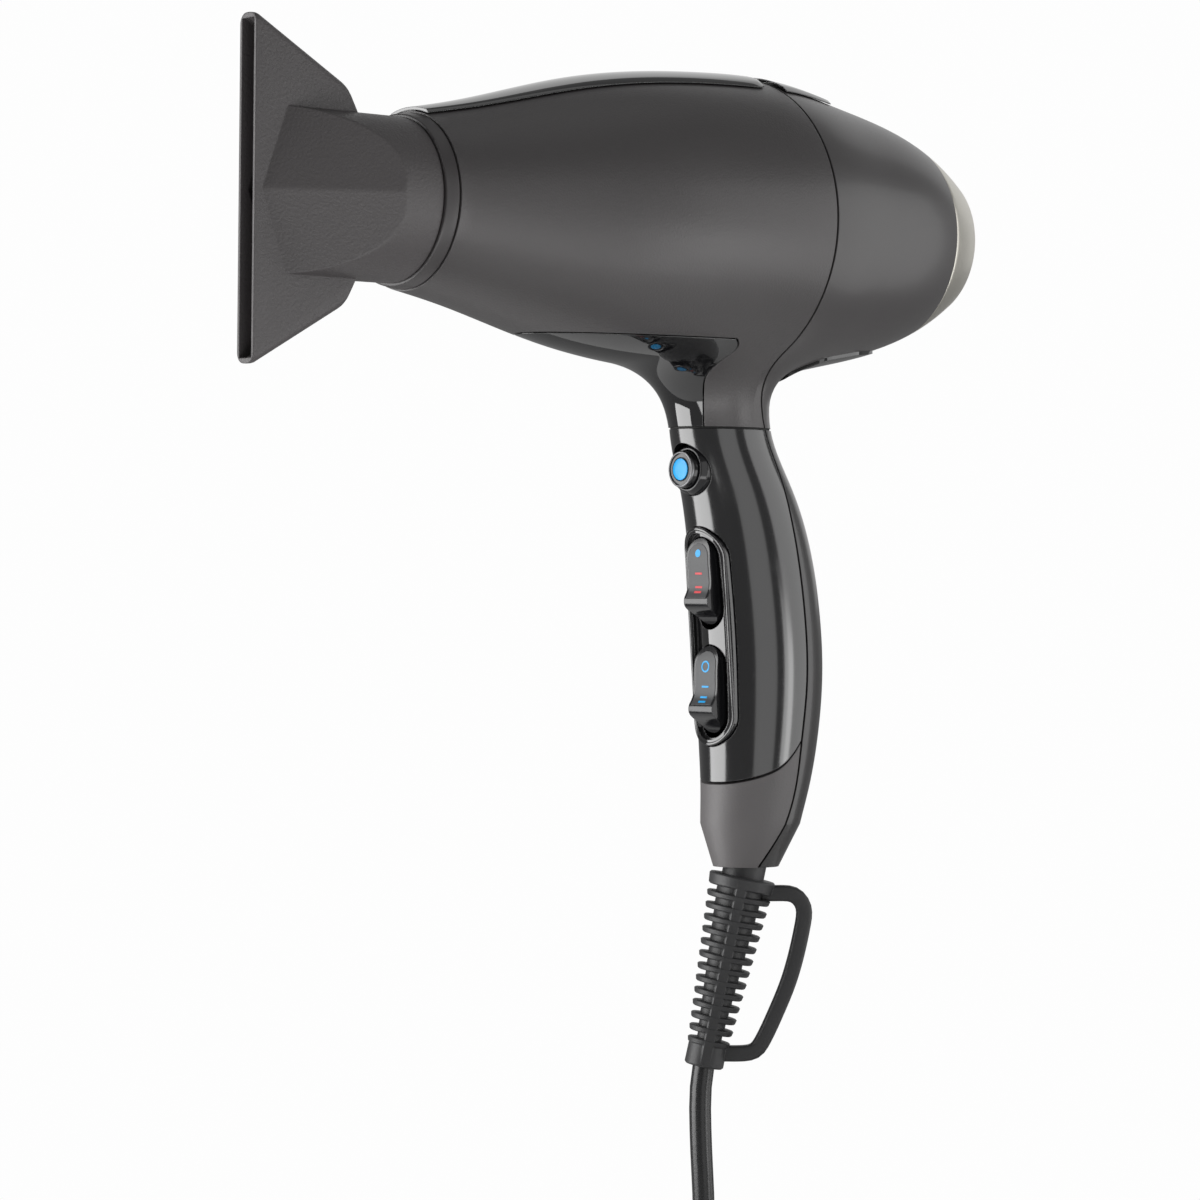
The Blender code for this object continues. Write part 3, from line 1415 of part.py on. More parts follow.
tube("mains_wires", route_through(lead_wire, 7.0), 1.7, "wire_sleeve", 1)
for side, word in ((-1, "heater"), (1, "motor")):
    wire = [
        (-3.3, side * 3.0, 26),
        (-0.5, side * 3.0, 38),
        (-1.0, side * 2.6, 50),
        (-4.0, side * 2.6, 60),
        (-12.0, side * 5.0, 76),
        (-20.0 + side * 8.0, side * 7.0, AXIS_Z - DUCT_RADIUS - 2.6),
    ]
    tube(f"{word}_wires", route_through(wire, 7.0), 1.2, "wire_sleeve", 1)
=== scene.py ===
"""A hair dryer with its concentrator nozzle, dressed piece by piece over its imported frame.

Run as a script, it registers one operator for each piece or group of like pieces and calls them in
turn: the finishes and the stage first, then the cord, then the dryer piece by piece.
"""

import math

import bmesh
import bpy
import numpy as np
from bpy.props import FloatProperty, FloatVectorProperty, PointerProperty
from mathutils import Matrix, Vector


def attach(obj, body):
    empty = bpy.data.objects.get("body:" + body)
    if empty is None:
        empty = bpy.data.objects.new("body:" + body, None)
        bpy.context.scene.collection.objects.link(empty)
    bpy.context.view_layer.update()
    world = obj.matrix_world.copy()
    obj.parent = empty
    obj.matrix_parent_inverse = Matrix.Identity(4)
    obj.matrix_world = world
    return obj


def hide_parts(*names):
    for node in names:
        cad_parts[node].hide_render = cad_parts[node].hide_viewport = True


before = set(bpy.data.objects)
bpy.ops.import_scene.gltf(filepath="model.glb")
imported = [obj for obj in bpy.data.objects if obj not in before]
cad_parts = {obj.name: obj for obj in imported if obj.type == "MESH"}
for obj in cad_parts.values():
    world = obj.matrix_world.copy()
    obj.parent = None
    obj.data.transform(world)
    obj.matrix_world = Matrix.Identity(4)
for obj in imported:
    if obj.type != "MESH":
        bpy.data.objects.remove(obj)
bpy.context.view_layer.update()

bl_info = {
    "name": "Hair dryer",
    "version": (1, 0, 0),
    "blender": (4, 5, 0),
    "location": "3D View > Sidebar > Dryer",
    "description": "Dresses the packed frame of a hair dryer with detailed pieces and finishes",
    "category": "Add Mesh",
}

MM = 0.001
GAP = 0.3
WALL = 2.4
SEAM_GAP = 0.8

AXIS_Z = 124.7
BARREL_RADIUS = 44.0
OUTLET_RADIUS = 25.2
INTAKE_RADIUS = 31.0
BARREL_FRONT = -131.0
BARREL_REAR = 55.0
RING_END = BARREL_REAR + 17.0
RING_TAIL_RADIUS = 22.0

NOZZLE_REAR = -135.85
MOUTH_X = -185.65
NOZZLE_RADIUS = 23.3
NOZZLE_WALL = 1.5
MOUTH_HEIGHT = 95.6
MOUTH_WIDTH = 7.5
BLADE_HEIGHT = 61.0
BLADE_LENGTH = 31.8

GRIP_ROUNDNESS = 0.87
GRIP_BOTTOM = -65.8
CHAMFER_Z = -53.0
NECK_Z = 65.0
NECK_X = -13.0
NECK_RADIUS = 16.0
HALF_DEPTH = 20.1
GRIP_TOP = NECK_Z - 0.6

BEZEL_WIDTH = 18.0
BEZEL_HEIGHT = 65.0
BEZEL_MIDDLE = 2.9
ROCKER_WIDTH = 10.5
ROCKER_HEIGHT = 26.0
ROCKER_PROUD = 4.0
HEAT_ROCKER_Z = 19.3
SPEED_ROCKER_Z = -12.8
BUTTON_Z = 52.4
BUTTON_RADIUS = 5.45
BUTTON_FACE = -28.27

CORD_RADIUS = 3.3
SURFACE_Z = -218.5
GUARD_LENGTH = 56.4
RIBS = 13


def smooth_curve(stations):
    """A natural cubic through (position, value) stations, as a function of the position."""
    x, y = np.array(stations, float).T
    step = np.diff(x)
    size = len(x)
    matrix = np.eye(size)
    rhs = np.zeros(size)
    for i in range(1, size - 1):
        matrix[i, i - 1 : i + 2] = step[i - 1], 2 * (step[i - 1] + step[i]), step[i]
        rhs[i] = 6 * ((y[i + 1] - y[i]) / step[i] - (y[i] - y[i - 1]) / step[i - 1])
    bend = np.linalg.solve(matrix, rhs)

    def value(at):
        at = np.clip(np.asarray(at, float), x[0], x[-1])
        i = np.clip(np.searchsorted(x, at) - 1, 0, size - 2)
        after, before, h = at - x[i], x[i + 1] - at, step[i]
        cubic = (bend[i] * before**3 + bend[i + 1] * after**3) / (6 * h)
        start = (y[i] / h - bend[i] * h / 6) * before
        end = (y[i + 1] / h - bend[i + 1] * h / 6) * after
        return cubic + start + end

    return value


barrel_radius = smooth_curve(
    [
        (BARREL_FRONT, OUTLET_RADIUS),
        (BARREL_FRONT + 16, OUTLET_RADIUS + 3.2),
        (-95, OUTLET_RADIUS + 8.2),
        (-75, BARREL_RADIUS - 5.7),
        (-50, BARREL_RADIUS - 1.8),
        (-25, BARREL_RADIUS),
        (0, BARREL_RADIUS - 0.4),
        (20, BARREL_RADIUS - 4),
        (BARREL_REAR - 15, INTAKE_RADIUS + 4.8),
        (BARREL_REAR, INTAKE_RADIUS),
        (RING_END - 6, RING_TAIL_RADIUS + 3.6),
        (RING_END, RING_TAIL_RADIUS),
    ]
)
grip_middle = smooth_curve(
    [
        (GRIP_BOTTOM, -0.6),
        (CHAMFER_Z, 1.0),
        (-43, 2.6),
        (-25, 3.9),
        (-7, 4.1),
        (11, 2.6),
        (29, -0.5),
        (46.8, -5.9),
        (NECK_Z - 0.5, NECK_X + 0.3),
        (NECK_Z + 10, NECK_X),
        (AXIS_Z, NECK_X),
    ]
)
grip_half_depth = smooth_curve(
    [
        (CHAMFER_Z, HALF_DEPTH * 0.79),
        (-43, HALF_DEPTH * 0.855),
        (-25, HALF_DEPTH * 0.955),
        (-7, HALF_DEPTH),
        (11, HALF_DEPTH),
        (29, HALF_DEPTH * 0.97),
        (46.8, (HALF_DEPTH + NECK_RADIUS) / 2 - 0.2),
        (NECK_Z, NECK_RADIUS),
        (NECK_Z + 10, NECK_RADIUS - 0.2),
        (AXIS_Z, NECK_RADIUS - 0.2),
    ]
)
seam_x = smooth_curve(
    [
        (GRIP_BOTTOM, -3.5),
        (-46, 5),
        (-28, 6.7),
        (-12, 7.8),
        (10, 6.6),
        (38.8, 2),
        (52.7, -1.5),
        (NECK_Z - 0.5, -6.1),
        (NECK_Z + 10, -8.2),
        (AXIS_Z - 30, -7.7),
        (AXIS_Z + BARREL_RADIUS + 6, -7.7),
    ]
)
SEAM_TOP = -7.7


def skin_depth(points):
    """How far points lie outside the barrel and its neck; negative inside."""
    x, y, z = points[..., 0], points[..., 1], points[..., 2]
    barrel = np.hypot(y, z - AXIS_Z) - barrel_radius(x)
    deep = grip_half_depth(z)
    wide = deep * GRIP_ROUNDNESS
    middle = grip_middle(z)
    neck = (np.sqrt(((x - middle) / deep) ** 2 + (y / wide) ** 2) - 1) * wide
    flare = np.where(x < middle, 20.0, 11.0)
    blend = np.maximum(flare - np.abs(barrel - neck), 0) / flare
    return np.minimum(barrel, neck) - blend * blend * flare / 4


def skin_slope(points, axes=3, step=0.05):
    slope = np.zeros_like(points)
    for axis in range(axes):
        ahead, behind = points.copy(), points.copy()
        ahead[..., axis] += step
        behind[..., axis] -= step
        slope[..., axis] = (skin_depth(ahead) - skin_depth(behind)) / (2 * step)
    return slope


def settle(points, depth, level=False):
    """Points moved onto the skin `depth` under the outside; level ones keep their height."""
    for _ in range(12):
        slope = skin_slope(points, 2 if level else 3)
        off = (skin_depth(points) + depth) / np.maximum((slope**2).sum(-1), 0.05)
        points = points - slope * off[..., None]
    return points


# ---------------------------------------------------------------- finishes


class Number:
    """A number socket, so that shader maths reads as a plain expression."""

    def __init__(self, paint, socket):
        self.paint = paint
        self.socket = socket

    def joined(self, other, operation, swapped=False):
        first, second = (other, self) if swapped else (self, other)
        return self.paint.number("ShaderNodeMath", {"operation": operation}, {0: first, 1: second})

    def __add__(self, other):
        return self.joined(other, "ADD")

    __radd__ = __add__

    def __sub__(self, other):
        return self.joined(other, "SUBTRACT")

    def __rsub__(self, other):
        return self.joined(other, "SUBTRACT", True)

    def __mul__(self, other):
        return self.joined(other, "MULTIPLY")

    __rmul__ = __mul__

    def __truediv__(self, other):
        return self.joined(other, "DIVIDE")

    def above(self, low, high):
        """0 below low, 1 above high, with a soft step between."""
        settings = {"interpolation_type": "SMOOTHSTEP"}
        return self.paint.number(
            "ShaderNodeMapRange", settings, {"Value": self, "From Min": low, "From Max": high}
        )


class Paint:
    """The node tree of one finish."""

    def __init__(self, name):
        self.material = bpy.data.materials.new(name)
        self.material.use_nodes = True
        self.tree = self.material.node_tree
        self.shader = self.tree.nodes["Principled BSDF"]
        self.place = self.node("ShaderNodeTexCoord").outputs["Object"]

    def feed(self, socket, value):
        if isinstance(value, Number):
            value = value.socket
        if isinstance(value, bpy.types.NodeSocket):
            self.tree.links.new(value, socket)
        else:
            socket.default_value = value

    def node(self, kind, settings=None, sockets=None):
        made = self.tree.nodes.new(kind)
        for key, value in (settings or {}).items():
            setattr(made, key, value)
        for key, value in (sockets or {}).items():
            self.feed(made.inputs[key], value)
        return made

    def number(self, kind, settings=None, sockets=None, output=0):
        return Number(self, self.node(kind, settings, sockets).outputs[output])

    def noise(self, size, detail=2.0, place=None):
        """Soft noise whose spots are about `size` metres across."""
        sockets = {"Vector": place or self.place, "Scale": 1 / size, "Detail": detail}
        return self.number("ShaderNodeTexNoise", {}, sockets, "Fac")

    def mixed(self, share, first, second):
        made = self.node("ShaderNodeMix", {"data_type": "RGBA"}, {0: share, 6: first, 7: second})
        return made.outputs[2]

    def stretched(self, scale):
        made = self.node("ShaderNodeVectorMath", {"operation": "MULTIPLY"}, {0: self.place, 1: scale})
        return made.outputs[0]

    def edge(self, radius):
        """The normal rounded over edges, and a mask of where it turns."""
        rounded = self.node("ShaderNodeBevel", {"samples": 4}, {"Radius": radius}).outputs[0]
        flat = self.node("ShaderNodeNewGeometry").outputs["Normal"]
        same = self.node("ShaderNodeVectorMath", {"operation": "DOT_PRODUCT"}, {0: rounded, 1: flat})
        return rounded, 1 - Number(self, same.outputs["Value"])

    def colour(self, value):
        self.feed(self.shader.inputs["Base Color"], value)

    def roughness(self, value):
        self.feed(self.shader.inputs["Roughness"], value)

    def relief(self, height, depth, rounded=None):
        sockets = {"Height": height, "Distance": depth, "Strength": 1.0}
        if rounded is not None:
            sockets["Normal"] = rounded
        self.feed(self.shader.inputs["Normal"], self.node("ShaderNodeBump", {}, sockets).outputs["Normal"])

    def constants(self, **values):
        for key, value in values.items():
            self.shader.inputs[key.replace("_", " ")].default_value = value


def shade(colour, factor):
    return (*[channel * factor for channel in colour], 1.0)


def moulded(name, colour, rough, grain, depth, edge_highlight_and_wear=0.35, edge=0.0003, blotch=0.06, **constants):
    """Moulded plastic: a grained skin, slight colour drift, and edges lightened as a painted highlight and
    smoothed as if polished by handling.
    """
    paint = Paint(name)
    rounded, edge_turn = paint.edge(edge)
    fine = paint.noise(grain, 3.0)
    broad = paint.noise(0.035, 2.0)
    # Painted edge highlight: edges are lightened in colour; the same mask also lowers roughness, as rubbing
    # by handling does.
    edge_highlight_and_rub = edge_turn.above(0.02, 0.3) * paint.noise(0.004).above(0.3, 0.7) * edge_highlight_and_wear
    base = paint.mixed(broad, shade(colour, 1 - blotch), shade(colour, 1 + blotch))
    paint.colour(paint.mixed(edge_highlight_and_rub, base, shade(colour, 1.9)))
    paint.roughness((fine - 0.5) * 0.14 + (broad - 0.5) * 0.06 + rough - edge_highlight_and_rub * 0.2)
    paint.relief(fine, depth, rounded)
    paint.constants(**constants)
    return paint.material


def glossy(name, colour, rough, **constants):
    """Polished moulding: nearly flat, with faint smears, rare hair scratches and edges lightened as a painted
    highlight.
    """
    paint = Paint(name)
    rounded, edge_turn = paint.edge(0.00035)
    smear = paint.noise(0.012, 3.0).above(0.5, 0.72)
    hair = paint.noise(0.0012, 1.0, paint.stretched((0.05, 1.0, 0.4))).above(0.74, 0.78)
    # Painted edge highlight: the black is lightened where the rounded normal turns at edges.
    paint.colour(paint.mixed(edge_turn.above(0.05, 0.5) * 0.3, shade(colour, 1.0), shade(colour, 3.0)))
    paint.roughness(smear * 0.025 + hair * 0.05 + rough)
    paint.relief(paint.noise(0.02, 1.0), 0.00002, rounded)
    paint.constants(**constants)
    return paint.material


def metal(name, colour, rough, brushed=(1.0, 1.0, 1.0), grain=0.0004, **constants):
    """Bare or anodised metal with a lay of fine lines and edges lightened as a painted highlight."""
    paint = Paint(name)
    rounded, edge_turn = paint.edge(0.0003)
    lines = paint.noise(grain, 2.0, paint.stretched(brushed))
    broad = paint.noise(0.02, 2.0)
    base = paint.mixed(broad, shade(colour, 0.93), shade(colour, 1.05))
    # Painted edge highlight: the metal's colour is lightened at edges.
    paint.colour(paint.mixed(edge_turn.above(0.05, 0.4) * 0.4, base, shade(colour, 1.2)))
    paint.roughness((lines - 0.5) * 0.16 + (broad - 0.5) * 0.08 + rough)
    paint.relief(lines, 0.000012, rounded)
    paint.constants(Metallic=1.0, **constants)
    return paint.material


def woven_wire(name):
    """Fine filter gauze: two sets of wires, with the openings between them painted near black as painted
    shade of the dark inside behind the gauze.
    """
    paint = Paint(name)
    apart = paint.node("ShaderNodeSeparateXYZ", {}, {0: paint.place})
    sets = []
    for axis in ("Y", "Z"):
        phase = Number(paint, apart.outputs[axis]) * (2 * math.pi / 0.0011)
        wave = paint.number("ShaderNodeMath", {"operation": "SINE"}, {0: phase})
        sets.append(wave.above(-0.1, 0.7))
    wires = paint.number("ShaderNodeMath", {"operation": "MAXIMUM"}, {0: sets[0], 1: sets[1]})
    dirt = paint.noise(0.006, 3.0)
    wire = paint.mixed(dirt, (0.34, 0.34, 0.35, 1), (0.2, 0.2, 0.21, 1))
    # The openings are painted near black: painted shade standing in for the dark inside seen through the
    # gauze.
    paint.colour(paint.mixed(wires, (0.006, 0.006, 0.006, 1), wire))
    paint.feed(paint.shader.inputs["Metallic"], wires * 0.9)
    paint.roughness(dirt * 0.15 + 0.35)
    paint.relief(wires, 0.0002)
    return paint.material


FINISHES = {}


def make_finishes():
    """The dryer's finishes, one for each of its materials."""
    tint = bpy.context.scene.dryer_colours
    housing, nozzle = tuple(tint.housing), tuple(tint.nozzle)
    FINISHES.update(
        satin_housing=moulded(
            "satin_housing", housing, 0.4, 0.0006, 0.00008, 0.15, 0.0004, 0.08,
            Coat_Weight=0.12, Coat_Roughness=0.22, Metallic=0.25,
        ),
        rear_satin=moulded(
            "rear_satin", shade(housing, 0.8)[:3], 0.36, 0.00045, 0.00002, 0.15, 0.0004, 0.04,
            Coat_Weight=0.15, Coat_Roughness=0.15,
        ),
        collar_satin=moulded(
            "collar_satin", shade(nozzle, 0.7)[:3], 0.36, 0.0003, 0.000008, 0.2, 0.0005, 0.04
        ),
        handle_satin=moulded(
            "handle_satin", shade(housing, 0.3)[:3], 0.3, 0.0003, 0.000006, 0.2, 0.0004, 0.04,
            Coat_Weight=0.3, Coat_Roughness=0.1,
        ),
        nozzle_matte=moulded("nozzle_matte", nozzle, 0.48, 0.0008, 0.00016, 0.3, 0.0006, 0.1),
        base_matte=moulded("base_matte", shade(housing, 1.5)[:3], 0.5, 0.0006, 0.00006, 0.2),
        gloss_housing=glossy("gloss_housing", (0.005, 0.005, 0.0055), 0.03, IOR=1.85),
        gloss_grip=glossy("gloss_grip", (0.005, 0.005, 0.0055), 0.13, IOR=1.85),
        gloss_switch=glossy("gloss_switch", (0.008, 0.008, 0.009), 0.09),
        label_face=moulded("label_face", (0.035, 0.036, 0.038), 0.36, 0.0004, 0.00001, 0.2, 0.0002),
        champagne_ring=metal("champagne_ring", (0.62, 0.6, 0.54), 0.34, (0.1, 1.0, 1.0)),
        guard_rubber=moulded("guard_rubber", (0.022, 0.022, 0.023), 0.48, 0.0007, 0.00004, 0.3, 0.0003),
        cord_rubber=moulded("cord_rubber", (0.012, 0.012, 0.0125), 0.26, 0.0009, 0.00003, 0.2, 0.0002),
        plug_rubber=moulded("plug_rubber", (0.016, 0.016, 0.017), 0.4, 0.0006, 0.00003, 0.4, 0.0004),
        tie_rubber=moulded("tie_rubber", (0.03, 0.03, 0.031), 0.5, 0.0005, 0.00004),
        blue_mark=moulded("blue_mark", (0.0, 0.3, 0.66), 0.35, 0.0004, 0.000004, 0.1, 0.0001),
        red_mark=moulded("red_mark", (0.55, 0.03, 0.04), 0.4, 0.0004, 0.000004, 0.1, 0.0001),
        # Grey metal for the button's rim: partly the ring's own grey, lightened as a painted highlight of the
        # bevel.
        bright_rim=metal("bright_rim", (0.17, 0.17, 0.175), 0.32, (0.2, 1.0, 1.0)),
        steel=metal("steel", (0.56, 0.56, 0.58), 0.3, (0.1, 1.0, 1.0)),
        brass=metal("brass", (0.8, 0.66, 0.36), 0.28, (1.0, 0.08, 1.0)),
        mica=moulded("mica", (0.55, 0.47, 0.35), 0.5, 0.0015, 0.00004, 0.1),
        heater_wire=metal("heater_wire", (0.36, 0.3, 0.27), 0.45),
        # Near-black finish for the sheets inside the seams: painted shade standing in for the dark inside
        # seen through the gaps.
        liner_black=moulded("liner_black", (0.003, 0.003, 0.003), 0.7, 0.0008, 0.00001, 0.0),
        inner_plastic=moulded("inner_plastic", (0.03, 0.03, 0.03), 0.5, 0.0008, 0.00003),
        wire_sleeve=moulded("wire_sleeve", (0.22, 0.08, 0.04), 0.45, 0.0008, 0.00003),
        mesh_steel=woven_wire("mesh_steel"),
    )


# ---------------------------------------------------------------- mesh making


def placed_piece(made, finish, body, nodes=()):
    """Gives a piece its finish and its body, and hides the frame's nodes that it stands for."""
    made.data.materials.clear()
    made.data.materials.append(FINISHES[finish])
    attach(made, body)
    if nodes:
        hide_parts(*nodes)
    return made


def linked(name, points, faces, sharp=32.0):
    """One object from points in millimetres, its faces turned outwards and shaded smooth."""
    mesh = bpy.data.meshes.new(name)
    mesh.from_pydata([tuple(np.array(p, float) * MM) for p in points], [], faces)
    work = bmesh.new()
    work.from_mesh(mesh)
    bmesh.ops.remove_doubles(work, verts=work.verts, dist=0.0005 * MM)
    bmesh.ops.recalc_face_normals(work, faces=work.faces)
    work.to_mesh(mesh)
    work.free()
    made = bpy.data.objects.new(name, mesh)
    bpy.context.scene.collection.objects.link(made)
    smooth(made, sharp)
    return made


def smooth(made, sharp=32.0):
    mesh = made.data
    mesh.polygons.foreach_set("use_smooth", [True] * len(mesh.polygons))
    mesh.set_sharp_from_angle(angle=math.radians(sharp))
    return made


def baked(made, sharp=32.0):
    """The piece with its modifiers worked into its mesh."""
    bpy.context.view_layer.update()
    graph = bpy.context.evaluated_depsgraph_get()
    mesh = bpy.data.meshes.new_from_object(made.evaluated_get(graph))
    made.modifiers.clear()
    made.data = mesh
    return smooth(made, sharp)


def shaped(made, *steps, sharp=32.0):
    """Cuts, joins or keeps a piece with (operation, tool) steps."""
    for operation, tool in steps:
        step = made.modifiers.new(operation.title(), "BOOLEAN")
        step.operation = operation
        step.solver = "EXACT"
        step.object = tool
    baked(made, sharp)
    for tool in {tool for _, tool in steps}:
        bpy.data.objects.remove(tool)
    return made


def ring_faces(count, size, closed):
    faces = []
    for i in range(count if closed else count - 1):
        a, b = i * size, (i + 1) % count * size
        for j in range(size):
            k = (j + 1) % size
            faces.append((a + j, a + k, b + k, b + j))
    return faces


def lofted(name, rings, closed=False, sharp=32.0):
    """Rings of equally many points skinned in turn; closed joins the last to the first."""
    size = len(rings[0])
    faces = ring_faces(len(rings), size, closed)
    if not closed:
        faces.append(tuple(range(size)))
        faces.append(tuple(range((len(rings) - 1) * size, len(rings) * size)))
    return linked(name, [p for ring in rings for p in ring], faces, sharp)


def circle(radius, segments, phase=0.0):
    turn = np.arange(segments) * 2 * math.pi / segments + phase
    return np.stack([np.cos(turn) * radius, np.sin(turn) * radius], 1)


def turned(name, profile, segments=96, centre=(0, 0, AXIS_Z), along=(1, 0, 0), sharp=32.0):
    """A body of revolution from (distance, radius) stations; zero radii at both ends close it."""
    solid = profile[0][1] == 0
    start = Vector(centre)
    ahead = Vector(along).normalized()
    side = ahead.orthogonal().normalized()
    up = ahead.cross(side)
    rings = []
    for distance, radius in profile[1:-1] if solid else profile:
        ring = []
        for u, v in circle(radius, segments):
            ring.append(tuple(start + ahead * distance + side * u + up * v))
        rings.append(ring)
    return lofted(name, rings, not solid, sharp)


def rounded_profile(profile, radius, steps=4, closed=True):
    """A profile whose corners are cut by small arcs."""
    made = []
    size = len(profile)
    for i, corner in enumerate(profile):
        if not closed and i in (0, size - 1):
            made.append(corner)
            continue
        corner = np.array(corner, float)
        before = np.array(profile[i - 1], float) - corner
        after = np.array(profile[(i + 1) % size], float) - corner
        reach = min(radius, np.linalg.norm(before) * 0.45, np.linalg.norm(after) * 0.45)
        first = corner + before / max(np.linalg.norm(before), 1e-6) * reach
        last = corner + after / max(np.linalg.norm(after), 1e-6) * reach
        for t in np.linspace(0, 1, steps + 1):
            made.append(tuple((1 - t) ** 2 * first + 2 * t * (1 - t) * corner + t * t * last))
    return made


def rod(name, x0, x1, radius, z, segments=64):
    return turned(name, [(x0, 0), (x0, radius), (x1, radius), (x1, 0)], segments, (0, 0, z))


def prism_y(name, outline, half):
    return lofted(name, [[(x, side * half, z) for x, z in outline] for side in (-1, 1)])


def prism_z(name, outline, low, high):
    return lofted(name, [[(x, y, z) for x, y in outline] for z in (low, high)])


def prism_x(name, outline, x0, x1):
    return lofted(name, [[(x, y, z) for y, z in outline] for x in (x0, x1)])


def stadium(width, height, middle, steps=21):
    """A (y, z) outline with two round ends, standing upright."""
    radius = width / 2
    straight = height / 2 - radius
    outline = []
    for half in (1, -1):
        for i in range(steps + 1):
            turn = math.pi * i / steps
            up = straight + radius * math.sin(turn)
            outline.append((half * radius * math.cos(turn), middle + half * up))
    return outline


def route_through(points, spacing):
    points = np.array(points, float)
    length = np.concatenate([[0], np.cumsum(np.linalg.norm(np.diff(points, axis=0), axis=1))])
    at = np.linspace(0, length[-1], max(3, int(round(length[-1] / spacing)) + 1))
    return np.stack([smooth_curve(list(zip(length, points[:, i])))(at) for i in range(3)], 1)


def joined(first, *others):
    """Several meshes as one piece."""
    work = bmesh.new()
    for made in (first, *others):
        work.from_mesh(made.data)
    work.to_mesh(first.data)
    work.free()
    for made in others:
        bpy.data.objects.remove(made)
    return smooth(first)


def swept(name, points, section, normal):
    """A section carried along a route that stays in the plane square to `normal`."""
    points = np.array(points, float)
    normal = np.array(normal, float)
    rings = []
    for i, place in enumerate(points):
        ahead = points[min(i + 1, len(points) - 1)] - points[max(i - 1, 0)]
        side = np.cross(ahead / np.linalg.norm(ahead), normal)
        rings.append([tuple(place + side * u + normal * v) for u, v in section])
    return lofted(name, rings)


# ---------------------------------------------------------------- barrel and neck skin


def skin_side(depth, front=18, middle=40, rear=16, around=144, half_hole=18, rows=18):
    """Rows of points of one side of the barrel and neck wall, and the faces between them."""
    hole_front, hole_rear = NECK_X - 38, NECK_X + 30
    columns = np.concatenate(
        [
            np.linspace(BARREL_FRONT, hole_front, front + 1),
            np.linspace(hole_front, hole_rear, middle + 1)[1:],
            np.linspace(hole_rear, BARREL_REAR, rear + 1)[1:],
        ]
    )
    turn = np.arange(around) * 2 * math.pi / around
    points = []
    for x in columns:
        radius = float(barrel_radius(x)) - depth
        for angle in turn:
            points.append((x, radius * math.sin(angle), AXIS_Z - radius * math.cos(angle)))
    first, last = front, front + middle
    faces = []
    for i in range(len(columns) - 1):
        for j in range(around):
            k = (j + 1) % around
            in_hole = first <= i < last and (j < half_hole or j >= around - half_hole)
            if not in_hole:
                faces.append((i * around + j, i * around + k, (i + 1) * around + k, (i + 1) * around + j))
    edge = [(i, -half_hole) for i in range(first, last)]
    edge += [(last, j) for j in range(-half_hole, half_hole)]
    edge += [(i, half_hole) for i in range(last, first, -1)]
    edge += [(first, j) for j in range(half_hole, -half_hole, -1)]
    rim = [i * around + j % around for i, j in edge]
    rim_points = np.array([points[i] for i in rim])
    neck_deep = float(grip_half_depth(NECK_Z)) - depth
    neck_wide = float(grip_half_depth(NECK_Z)) * GRIP_ROUNDNESS - depth
    bearing = np.arctan2(rim_points[:, 1] / 30, (rim_points[:, 0] - NECK_X + 4) / 34)
    level = np.full(len(rim), NECK_Z)
    foot = np.stack([NECK_X + neck_deep * np.cos(bearing), neck_wide * np.sin(bearing), level], 1)
    elbow = foot.copy()
    elbow[:, :2] = (elbow[:, :2] - (NECK_X, 0)) * 1.12 + (NECK_X, 0)
    elbow[:, 2] = rim_points[:, 2] * 0.35 + (AXIS_Z - BARREL_RADIUS) * 0.65
    previous = rim
    for row in range(1, rows + 1):
        t = row / rows
        line = (1 - t) ** 2 * rim_points + 2 * t * (1 - t) * elbow + t * t * foot
        line = settle(line, depth, level=row == rows)
        start = len(points)
        points.extend(map(tuple, line))
        current = list(range(start, start + len(rim)))
        for j in range(len(rim)):
            k = (j + 1) % len(rim)
            faces.append((previous[j], previous[k], current[k], current[j]))
        previous = current
    openings = [list(range(around)), [len(columns) * around - around + j for j in range(around)]]
    return points, faces, openings + [previous]


def skin_wall(name, outside=0.0, inside=WALL):
    """The wall of barrel and neck in one, open at the outlet, the intake and the neck."""
    outer, outer_faces, outer_openings = skin_side(outside)
    inner, inner_faces, inner_openings = skin_side(inside)
    shift = len(outer)
    faces = outer_faces + [tuple(shift + i for i in face) for face in inner_faces]
    for outer_ring, inner_ring in zip(outer_openings, inner_openings):
        for j in range(len(outer_ring)):
            k = (j + 1) % len(outer_ring)
            faces.append((outer_ring[j], outer_ring[k], shift + inner_ring[k], shift + inner_ring[j]))
    return linked(name, outer + inner, faces)


def polished(made, outside=0.0):
    """The outside of a housing piece with its exact smooth normals."""
    mesh = made.data
    points = np.empty(len(mesh.vertices) * 3)
    mesh.vertices.foreach_get("co", points)
    points = points.reshape(-1, 3) / MM
    on_skin = np.abs(skin_depth(points) + outside) < 0.04
    slope = skin_slope(points)
    slope /= np.maximum(np.linalg.norm(slope, axis=1), 1e-6)[:, None]
    corner = np.empty(len(mesh.loops), int)
    mesh.loops.foreach_get("vertex_index", corner)
    normals = np.empty(len(mesh.loops) * 3)
    mesh.corner_normals.foreach_get("vector", normals)
    normals = normals.reshape(-1, 3)
    for face in mesh.polygons:
        span = slice(face.loop_start, face.loop_start + face.loop_total)
        if on_skin[corner[span]].all():
            normals[span] = slope[corner[span]]
    mesh.normals_split_custom_set([tuple(n) for n in normals])
    return made


def side_region(name, front, low, high, shift):
    """Everything in front of, or behind, the side seam between two heights."""
    line = [(float(seam_x(z)) + shift, z) for z in np.linspace(low, high, 61)]
    far = -220 if front else 220
    return prism_y(name, line + [(far, high), (far, low)], BARREL_RADIUS + 30)


